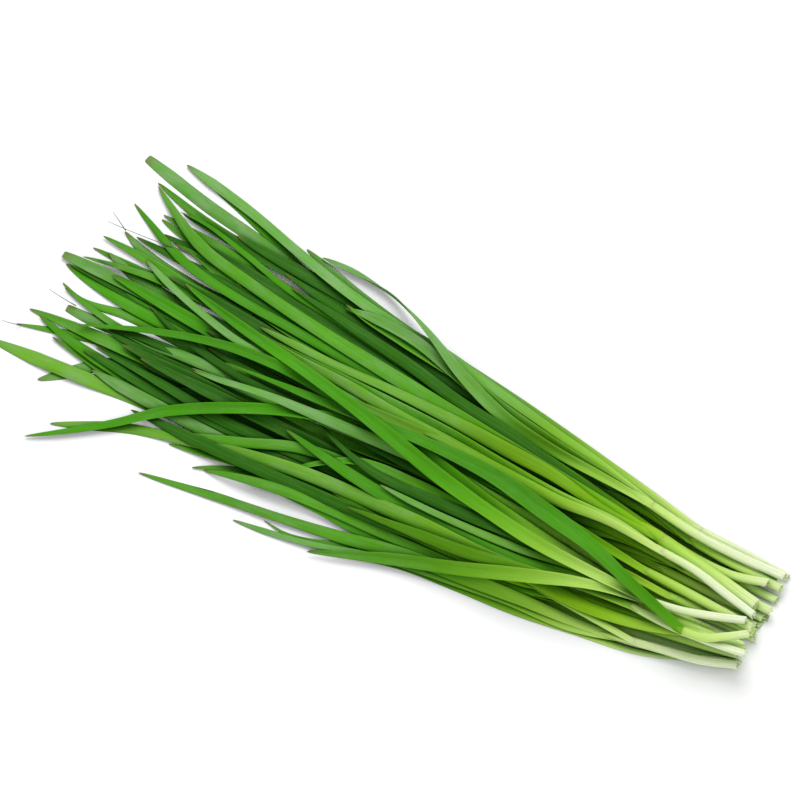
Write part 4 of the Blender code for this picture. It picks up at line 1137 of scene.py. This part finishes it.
def sweepPiece(name, chains, tree, settings, skin, centre):
    # Points and edges with their values, swept by the tree and turned to a plain mesh.
    data = bpy.data.meshes.new(name)
    places = np.concatenate([one["places"] for one in chains])
    edges, start = [], 0
    for one in chains:
        count = len(one["places"])
        edges += [(start + step, start + step + 1) for step in range(count - 1)]
        start += count
    data.from_pydata(((places - centre) * mm).tolist(), edges, [])
    sizes = ("halfWidth", "halfThick", "edgeLift")
    for key in (*sizes, "fromCut", "fromTip", "wax", "flat"):
        values = np.concatenate([one[key] for one in chains]) * (mm if key in sizes else 1.0)
        data.attributes.new(key, "FLOAT", "POINT").data.foreach_set("value", values.astype(np.float32))
    for key in ("sideways", "upward", "tone"):
        values = np.concatenate([one[key] for one in chains]).astype(np.float32)
        data.attributes.new(key, "FLOAT_VECTOR", "POINT").data.foreach_set("vector", values.ravel())
    piece = newObject(name, data)
    sweep = piece.modifiers.new("sweep", "NODES")
    sweep.node_group = tree
    sockets = {item.name: item.identifier for item in tree.interface.items_tree if item.in_out == "INPUT"}
    for label, value in {**settings, "Skin": skin}.items():
        sweep[sockets[label]] = value
    bpy.context.view_layer.update()
    result = bpy.data.meshes.new_from_object(piece.evaluated_get(bpy.context.evaluated_depsgraph_get()))
    piece.modifiers.clear()
    piece.data = result
    bpy.data.meshes.remove(data)
    result.name = name
    for key in ("spot", "sideways", "upward", "flat", *sizes):
        if key in result.attributes:
            result.attributes.remove(result.attributes[key])
    shell = bmesh.new()
    shell.from_mesh(result)
    if shell.calc_volume(signed=True) < 0:
        bmesh.ops.reverse_faces(shell, faces=shell.faces)
        shell.to_mesh(result)
    shell.free()
    return piece


# Materials

def addRamp(tree, value, stops):
    node = tree.nodes.new("ShaderNodeValToRGB")
    while len(node.color_ramp.elements) < len(stops):
        node.color_ramp.elements.new(0.5)
    for element, (place, colour) in zip(node.color_ramp.elements, stops):
        element.position = place
        element.color = (*colour, 1.0)
    plug(tree, node.inputs["Fac"], value)
    return node.outputs["Color"]


def mixColour(tree, share, first, second, blend="MIX"):
    node = addNode(tree, "ShaderNodeMix", data_type="RGBA", blend_type=blend)
    for place, value in ((0, share), (6, first), (7, second)):
        plug(tree, node.inputs[place], (*value, 1.0) if isinstance(value, tuple) else value)
    return node.outputs[2]


def attribute(tree, name, output="Fac"):
    return addNode(tree, "ShaderNodeAttribute", attribute_name=name).outputs[output]


def noise(tree, vector, scale, detail=2.0, roughness=0.5):
    inputs = {"Vector": vector, "Scale": scale, "Detail": detail, "Roughness": roughness}
    return addNode(tree, "ShaderNodeTexNoise", inputs).outputs["Fac"]


def combine(tree, *values):
    return addNode(tree, "ShaderNodeCombineXYZ", dict(enumerate(values))).outputs[0]


def rangeOf(tree, value, low, high, outLow=0.0, outHigh=1.0, kind="LINEAR"):
    inputs = {"Value": value, "From Min": low, "From Max": high, "To Min": outLow, "To Max": outHigh}
    return addNode(tree, "ShaderNodeMapRange", inputs, interpolation_type=kind).outputs[0]


chiveLook = {
    # sheath colours from the cut on, and the lengths between which the leaf colour takes over
    "pale": {"stops": ((0.0, (0.82, 0.86, 0.68)), (0.25, (0.77, 0.84, 0.56)), (0.42, (0.58, 0.78, 0.22)),
                       (0.7, (0.34, 0.60, 0.06)), (1.0, (0.20, 0.47, 0.010))),
             "greening": (50.0, 145.0)},
    "olive": {"stops": ((0.0, (0.72, 0.82, 0.46)), (0.12, (0.58, 0.75, 0.22)), (0.3, (0.42, 0.66, 0.07)),
                        (0.5, (0.27, 0.52, 0.010)), (1.0, (0.17, 0.42, 0.003))),
              "greening": (34.0, 95.0)},
    # what stems and leaves have of their own, and how strongly painted shade darkens their colour in crevices
    "stem": {"gloss": 0.24, "paintedShade": 0.5, "rough": 0.32, "bump": 0.25, "glow": 0.4},
    "leaf": {"gloss": 0.07, "paintedShade": 1.45, "rough": 0.46, "bump": 0.35, "glow": 0.0},
    # noises: scale, detail and roughness, and how the first two are stretched across and along
    "streakNoise": (2.2, 3.0, 0.6),
    "streakStretch": (4.0, 0.02, 0.013),
    "patchNoise": (1.7, 4.0, 0.55),
    "patchStretch": (0.9, 0.06, 0.017),
    "cloudNoise": (28.0, 3.0),
    "speckNoise": (900.0, 2.0),
    "blotchNoise": (95.0, 4.0, 0.65),
    # ranges: between which two values, and what they become
    "veinShade": (-1.0, 1.0, 0.94, 1.04),
    "streakShade": (0.25, 0.75, 0.80, 1.18),
    "cloudShade": (0.3, 0.7, 0.90, 1.10),
    "patchShade": (0.38, 0.60, 0.15, 1.0),
    "blotchShade": (0.42, 0.58, 0.65, 1.25),
    "midribShare": (0.13, 0.0, 0.0, 0.08),
    "edgeLightShare": (0.93, 1.0, 0.0, 0.35),
    "blemishShare": (0.435, 0.46, 0.0, 0.6),
    "tipShare": (5.0, 0.0, 0.0, 0.65),
    "roughSpread": (0.3, 0.7, -0.05, 0.08),
    # how far these lengths wander with a noise
    "rootWander": (0.3, 0.7, -25.0, 25.0),
    "waxWander": (0.3, 0.7, -40.0, 40.0),
    "tipWander": (0.3, 0.7, -2.0, 2.0),
    "sheathWander": (0.2, 0.8, -9.0, 9.0),
    # how the leaves' colour differs near their roots, and how far that reaches
    "rootTint": (1.4, 1.1, 0.4),
    "rootReach": (70.0, 165.0),
    "waxReach": (70.0, 170.0),
    # colour of the wax bloom with its painted sheen, added where light falls
    "waxAndSheenColour": (0.125, 0.185, 0.10),
    "underWax": 0.5,         # share of the leaf colour that shows through
    "midrib": (0.24, 0.46, 0.05),
    # the edge colour is painted light shining through the thin rim
    "edge": (0.26, 0.46, 0.03),
    "blemish": (0.22, 0.16, 0.03),
    "tipBrown": (0.17, 0.17, 0.045),
    "veinCount": 13.0,
    "sheathReach": (0.0, 120.0),
    "sheathStreaks": ((0.34, (0.66, 0.78, 0.44)), (0.56, (1.0, 1.0, 1.0))),
    # painted shade: how far the occlusion looks, and with how many samples
    "paintedShadeReach": 0.006,
    "paintedShadeSamples": 4,
    "paintedShadeTint": (1.3, 0.75, 1.9),    # how strongly the painted shade darkens each channel
    "bumpHeight": 0.0002,
    "bumpVein": 0.35,
    "bumpStreak": 1.2,
    "glowRadius": (0.6, 1.0, 0.25),
    "glowReach": 0.002,
}


def makeSkin(name, colouring, kind):
    # One skin for stems and leaves: sheath colours near the cut, leaf colours beyond, veins along the blade,
    # and painted shade in crevices.
    look, sheath, own = chiveLook, chiveLook[colouring], chiveLook[kind]
    material, tree, shader = newSkin(name)
    across, fromCut = attribute(tree, "across"), attribute(tree, "fromCut")
    fromTip, tone = attribute(tree, "fromTip"), attribute(tree, "tone", "Vector")
    place = tree.nodes.new("ShaderNodeTexCoord").outputs["Object"]

    def stretched(stretch):
        return combine(tree, *(times(tree, *pair) for pair in zip((across, fromCut, fromTip), look[stretch])))

    def wandering(length, value, wander):
        return addMath(tree, "ADD", length, rangeOf(tree, value, *look[wander]))

    streaks = noise(tree, stretched("streakStretch"), *look["streakNoise"])
    patches = noise(tree, stretched("patchStretch"), *look["patchNoise"])
    cloud = noise(tree, place, *look["cloudNoise"])
    specks = noise(tree, place, *look["speckNoise"])
    blotches = noise(tree, place, *look["blotchNoise"])
    # painted shade: an ambient occlusion factor darkens the base colour in crevices and between leaves
    paintedShade = addNode(tree, "ShaderNodeAmbientOcclusion", {"Distance": look["paintedShadeReach"]},
                      samples=look["paintedShadeSamples"])
    paintedDark = addMath(tree, "POWER", paintedShade.outputs["AO"], own["paintedShade"])

    # leaf colour: tone, fine veins, wax bloom with a painted sheen towards the tip, pale midrib, an edge lit
    # by painted light shining through, brown at the tip
    vein = addMath(tree, "COSINE", times(tree, across, look["veinCount"] * math.pi))
    shade = times(tree, rangeOf(tree, vein, *look["veinShade"]), rangeOf(tree, streaks, *look["streakShade"]),
                  rangeOf(tree, cloud, *look["cloudShade"]))
    rootTone = addVector(tree, "MULTIPLY", tone, combine(tree, *look["rootTint"]))
    fromRoot = rangeOf(tree, wandering(fromCut, cloud, "rootWander"), *look["rootReach"])
    leafColour = addVector(tree, "SCALE", mixColour(tree, fromRoot, rootTone, tone), shade)
    waxAt = rangeOf(tree, wandering(fromCut, cloud, "waxWander"), *look["waxReach"])
    patchShade = times(tree, rangeOf(tree, patches, *look["patchShade"]),
                       rangeOf(tree, blotches, *look["blotchShade"]))
    # the wax is multiplied by the painted shade, so it shows only where light falls: partly real bloom,
    # partly painted sheen
    waxAndSheenShare = times(tree, times(tree, attribute(tree, "wax"), waxAt), times(tree, patchShade, paintedDark))
    waxedAndSheened = mixColour(tree, look["underWax"], look["waxAndSheenColour"], leafColour, "ADD")
    leafColour = mixColour(tree, waxAndSheenShare, leafColour, waxedAndSheened)
    # the pale edge is painted light shining through the thin rim; midrib, specks and brown tip are the leaf's
    # own colours
    middle = addMath(tree, "ABSOLUTE", across)
    overlays = ((middle, "midribShare", "midrib"), (middle, "edgeLightShare", "edge"),
                (times(tree, specks, patches), "blemishShare", "blemish"),
                (wandering(fromTip, streaks, "tipWander"), "tipShare", "tipBrown"))
    for value, share, colour in overlays:
        leafColour = mixColour(tree, rangeOf(tree, value, *look[share]), leafColour, look[colour])

    # sheath colour: white at the cut, cream, then yellow-green, which the leaf colour takes over from
    reach = wandering(fromCut, streaks, "sheathWander")
    sheathColour = addRamp(tree, rangeOf(tree, reach, *look["sheathReach"]), sheath["stops"])
    sheathShade = addRamp(tree, streaks, look["sheathStreaks"])
    sheathColour = mixColour(tree, 1.0, sheathColour, sheathShade, "MULTIPLY")
    green = rangeOf(tree, reach, *sheath["greening"], kind="SMOOTHSTEP")
    colour = mixColour(tree, green, sheathColour, leafColour)
    # the painted shade multiplies the colour, the blue most and the green least
    shadow = combine(tree, *(addMath(tree, "POWER", paintedDark, power) for power in look["paintedShadeTint"]))
    plug(tree, shader["Base Color"], mixColour(tree, 1.0, colour, shadow, "MULTIPLY"))
    shader["Specular IOR Level"].default_value = own["gloss"]

    relief = addMath(tree, "ADD", times(tree, vein, look["bumpVein"]),
                     times(tree, streaks, look["bumpStreak"]))
    bump = addNode(tree, "ShaderNodeBump", {"Strength": own["bump"], "Distance": look["bumpHeight"],
                                            "Height": relief})
    plug(tree, shader["Normal"], bump.outputs[0])
    low, high, less, more = look["roughSpread"]
    rough = rangeOf(tree, specks, low, high, own["rough"] + less, own["rough"] + more)
    plug(tree, shader["Roughness"], rough)
    shader["Subsurface Weight"].default_value = own["glow"]
    shader["Subsurface Radius"].default_value = look["glowRadius"]
    shader["Subsurface Scale"].default_value = look["glowReach"]
    return material


innerLook = {
    "rows": 40,
    "lean": 0.3,             # how far the blades tilt to a side
    "root": (12.0, 0.75),    # length over which they widen from their root, and the share of the width there
    "halfThick": 0.3,
    "edgeUp": 0.16,          # how far the edges stand up, as a share of the half width
}

# Small inner blades under the others: width, height above the table, length already grown at the first point,
# tone, and their run from root to tip. Those in the deep tone are a dark green that also paints the shade in
# gaps of the bunch
innerBlades = (
    (3.6, 0.45, 14.0, "yellow", ((12, -12), (39, -14), (64, -17), (96, -22))),
    (4.4, 0.45, 4.0, "light", ((0, 21), (20, 25), (38, 28), (66, 33))),
    (3.4, 0.45, 4.0, "yellow", ((-3, 0), (12, 2), (32, 3), (60, 4))),
    (3.6, 0.45, 2.0, "light", ((-1, 23), (14, 27), (30, 31), (56, 35))),
    (4.8, 0.45, 5.0, "yellow", ((-2, 4), (20, 1), (47, -2), (76, -4))),
    (4.2, 0.45, 2.0, "light", ((2, -15), (16, -16), (42, -18), (70, -21))),
    (4.5, 1.1, 230.0, "mid", ((234, -20), (261, -20), (284, -23), (301, -24))),
    (4.5, 0.8, 230.0, "mid", ((234, 30), (256, 29), (275, 27), (297, 24))),
    (4.0, 0.9, 180.0, "deep", ((199, 4), (248, -4), (279, -6), (306, -7))),
    (4.2, 1.4, 180.0, "deep", ((196, 10), (235, 7), (263, 8), (280, 10))),
    (4.0, 1.2, 190.0, "mid", ((219, -24), (253, -30), (268, -34), (275, -34))),
    (3.6, 0.8, 230.0, "mid", ((251, 9), (267, 9), (285, 7), (303, 3))),
    (4.2, 1.0, 200.0, "deep", ((211, 14), (240, 18), (266, 19), (281, 19))),
    (4.6, 1.6, 100.0, "deep", ((97, 14), (127, 12), (152, 11), (175, 13))),
    (4.6, 5.0, 130.0, "mid", ((168, 5), (201, 4), (221, 4), (232, 4))),
    (4.4, 4.0, 120.0, "deep", ((143, 27), (171, 28), (186, 29), (194, 29))),
    (4.6, 6.5, 110.0, "light", ((130, -5), (162, -4), (178, -4), (188, -4))),
    (4.4, 6.0, 110.0, "mid", ((144, -32), (177, -36), (194, -38), (203, -40))),
)


def innerChain(width, height, grown, toneName, points, draw):
    look, blade = innerLook, bladeLook
    steps = look["rows"]
    plan = smoothRun(points, np.linspace(0.0, 1.0, steps))
    walked = walkedAlong(plan)
    left = walked[-1] - walked
    level = sidesOf(np.gradient(plan, axis=0))
    side = np.column_stack([level, np.full(steps, draw.uniform(-look["lean"], look["lean"]))])
    side /= np.linalg.norm(side, axis=1)[:, None]
    up = np.cross(np.column_stack([level[:, 1], -level[:, 0], np.zeros(steps)]), side)
    widening, rootShare = look["root"]
    taper = np.clip(left / blade["taper"], 0.0, 1.0) ** blade["ogive"]
    taper = taper * np.interp(walked, (0.0, widening), (rootShare, 1.0))
    halfWidth = np.maximum(width * taper / 2, blade["tipHalfWidth"])
    tone, wax = chanceTone(toneName, draw)
    return chain(np.column_stack([plan, np.full(steps, height)]), side, up, halfWidth, look["halfThick"],
                 look["edgeUp"] * halfWidth, grown + walked, left, tone, wax)


threadLook = {
    "rows": 13,
    "arch": 0.5,             # how far the middle stands above the ends
    "halfWidthAt": (0.0, 0.2, 1.0),
    "halfWidth": (0.26, 0.17, 0.09),
    "flat": 0.6,
    "fromCut": 300.0,
    "tone": (0.05, 0.05, 0.035),
    "noise": (400.0, 2.0),
    "colours": ((0.35, (0.035, 0.035, 0.03)), (0.7, (0.12, 0.11, 0.09))),
    "rough": 0.7,
}

# Dried threads at a few tips: where each starts and ends, as seen, and its height
driedThreads = (
    ((268, -33.8), (286, -31.6), (303, -31.0), 2.2),
    ((295, -30.8), (299, -33.2), (303, -35.5), 2.0),
    ((289.5, -15.4), (294, -14.4), (298.5, -14.3), 1.6),
    ((296, 7.2), (302, 6.9), (308.5, 5.8), 1.4),
    ((310.5, 24.8), (314, 25.9), (318, 26.5), 0.9),
)


def threadChain(first, middle, last, height):
    look = threadLook
    shares = np.linspace(0.0, 1.0, look["rows"])[:, None]
    seen = ((1 - shares) ** 2 * np.array(first) + 2 * (1 - shares) * shares * np.array(middle)
            + shares ** 2 * np.array(last))
    heights = height + look["arch"] * np.sin(shares[:, 0] * math.pi)
    places = np.column_stack([seen - sight * heights[:, None], heights])
    side = np.column_stack([sidesOf(np.gradient(seen, axis=0)), np.zeros(len(seen))])
    size = np.interp(shares[:, 0], look["halfWidthAt"], look["halfWidth"])
    return chain(places, side, upright, size, size * look["flat"], 0.0, look["fromCut"], 0.0, look["tone"])


def makeDrySkin():
    material, tree, shader = newSkin("driedTip")
    place = tree.nodes.new("ShaderNodeTexCoord").outputs["Object"]
    colour = addRamp(tree, noise(tree, place, *threadLook["noise"]), threadLook["colours"])
    plug(tree, shader["Base Color"], colour)
    shader["Roughness"].default_value = threadLook["rough"]
    return material


# Stage: a white table, soft light from above and behind, and the camera high in front

stageLook = {
    "tableReach": 20.0,
    "tableDrop": 0.0001,     # how far the table lies below the bunch
    "tableColour": (0.93, 0.935, 0.94, 1.0),
    "tableRough": 0.8,
    "tableGloss": 0.2,
    "ambient": 0.58,
    "lamps": (
        ("softKey", (0.35, -0.75, 1.2), 14.0, 1.0),
        ("softFill", (-0.8, 0.6, 0.9), 4.5, 1.0),
    ),
    "turn": 28.5,            # of the picture against the bunch, degrees
    "height": 62.0,          # of the camera above the table, degrees
    "frameWidth": 0.308,     # metres across the picture
    "lens": 1200.0,
    "clip": (0.1, 60.0),
    "aim": (166.5, -16.2),   # the middle of the picture on the table, in the bunch's own millimetres
}


def makeStage():
    look = stageLook
    reach = look["tableReach"]
    table = bpy.data.meshes.new("table")
    table.from_pydata([(-reach, -reach, 0), (reach, -reach, 0), (reach, reach, 0), (-reach, reach, 0)], [],
                      [(0, 1, 2, 3)])
    floor = newObject("table", table)
    floor.location.z = -look["tableDrop"]
    paint, _, shader = newSkin("tableWhite")
    shader["Base Color"].default_value = look["tableColour"]
    shader["Roughness"].default_value = look["tableRough"]
    shader["Specular IOR Level"].default_value = look["tableGloss"]
    table.materials.append(paint)

    world = bpy.data.worlds.new("softbox")
    world.use_nodes = True
    light = world.node_tree.nodes["Background"].inputs
    light["Color"].default_value = (1.0, 1.0, 1.0, 1.0)
    light["Strength"].default_value = look["ambient"]
    bpy.context.scene.world = world
    for name, place, power, size in look["lamps"]:
        lamp = bpy.data.lights.new(name, "AREA")
        lamp.energy = power
        lamp.size = size
        holder = newObject(name, lamp)
        holder.location = place
        holder.rotation_euler = (-Vector(place)).to_track_quat("-Z", "Y").to_euler()
        holder.visible_camera = False


def makeCamera(centre):
    look = stageLook
    turn, height = math.radians(look["turn"]), math.radians(look["height"])
    level = math.cos(height)
    forward = Vector((math.sin(turn) * level, -math.cos(turn) * level, -math.sin(height)))
    right = Vector((-math.cos(turn), -math.sin(turn), 0.0))
    camera = bpy.data.cameras.new("camera")
    camera.lens = look["lens"]
    camera.clip_start, camera.clip_end = look["clip"]
    holder = newObject("camera", camera)
    aim = Vector(((look["aim"][0] - centre[0]) * mm, (look["aim"][1] - centre[1]) * mm, 0.0))
    distance = look["frameWidth"] / 2 / math.tan(math.atan(camera.sensor_width / 2 / look["lens"]))
    placed = Matrix((right, right.cross(forward), -forward)).transposed().to_4x4()
    placed.translation = aim - forward * distance
    holder.matrix_world = placed
    bpy.context.scene.camera = holder


dressingSeed = 29


def main():
    laid = layBunch()
    centre = bunchCentre(laid)
    print("shoots laid:", len(laid))
    makeCamera(centre)
    tree = makeStrandTree()
    skins = {"stem": makeSkin("whiteSheath", "pale", "stem"),
             "stem_olive": makeSkin("oliveSheath", "olive", "stem"),
             "leaf_light": makeSkin("lightLeaf", "pale", "leaf"),
             "leaf": makeSkin("deepLeaf", "olive", "leaf")}
    print("skins made:", len(skins))
    draw = random.Random(dressingSeed)
    for spec, stem, leaves in laid:
        pale = spec["pale"]
        neckTone = leafTones["light" if pale else "yellow"][0]
        stemSlot, leafSlot = ("stem", "leaf_light") if pale else ("stem_olive", "leaf")
        rootAt = float(stepsOf(stem)[:mouthStation].sum())
        fuller = stemLook["fuller"].get(spec["name"], 1.0)
        stem.sections = [[[(x * fuller, z) for x, z in line] for line in pair] for pair in stem.sections]
        chains = [stemChain(stem, pale, neckTone, draw)] + scrapChains(stem, draw)
        stemPiece = sweepPiece(spec["name"] + "_sheath", chains, tree, stemSweep, skins[stemSlot], centre)
        greenAt = rootAt + bladeLook["greenAhead"].get(spec["name"], 0.0)
        chains = [neckChain(stem, greenAt, neckTone)]
        chains += [bladeChain(strand, greenAt, stem, draw, tipNudges.get((spec["name"], number)))
                   for number, strand in enumerate(leaves)]
        leafPiece = sweepPiece(spec["name"] + "_blades", chains, tree, bladeSweep, skins[leafSlot], centre)
        for piece, node, slot in ((stemPiece, "_stem", stemSlot), (leafPiece, "_leaves", leafSlot)):
            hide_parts(spec["name"] + node)
            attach(piece, "root")
    chains = [innerChain(*one, draw) for one in innerBlades]
    inner = sweepPiece("inner_blades", chains, tree, bladeSweep, skins["leaf_light"], centre)
    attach(inner, "root")
    chains = [threadChain(*one) for one in driedThreads]
    threads = sweepPiece("dried_tips", chains, tree, threadSweep, makeDrySkin(), centre)
    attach(threads, "root")
    print("pieces swept")
    makeStage()
    print("stage and camera set")


main()

bpy.context.scene.view_settings.view_transform = "Standard"
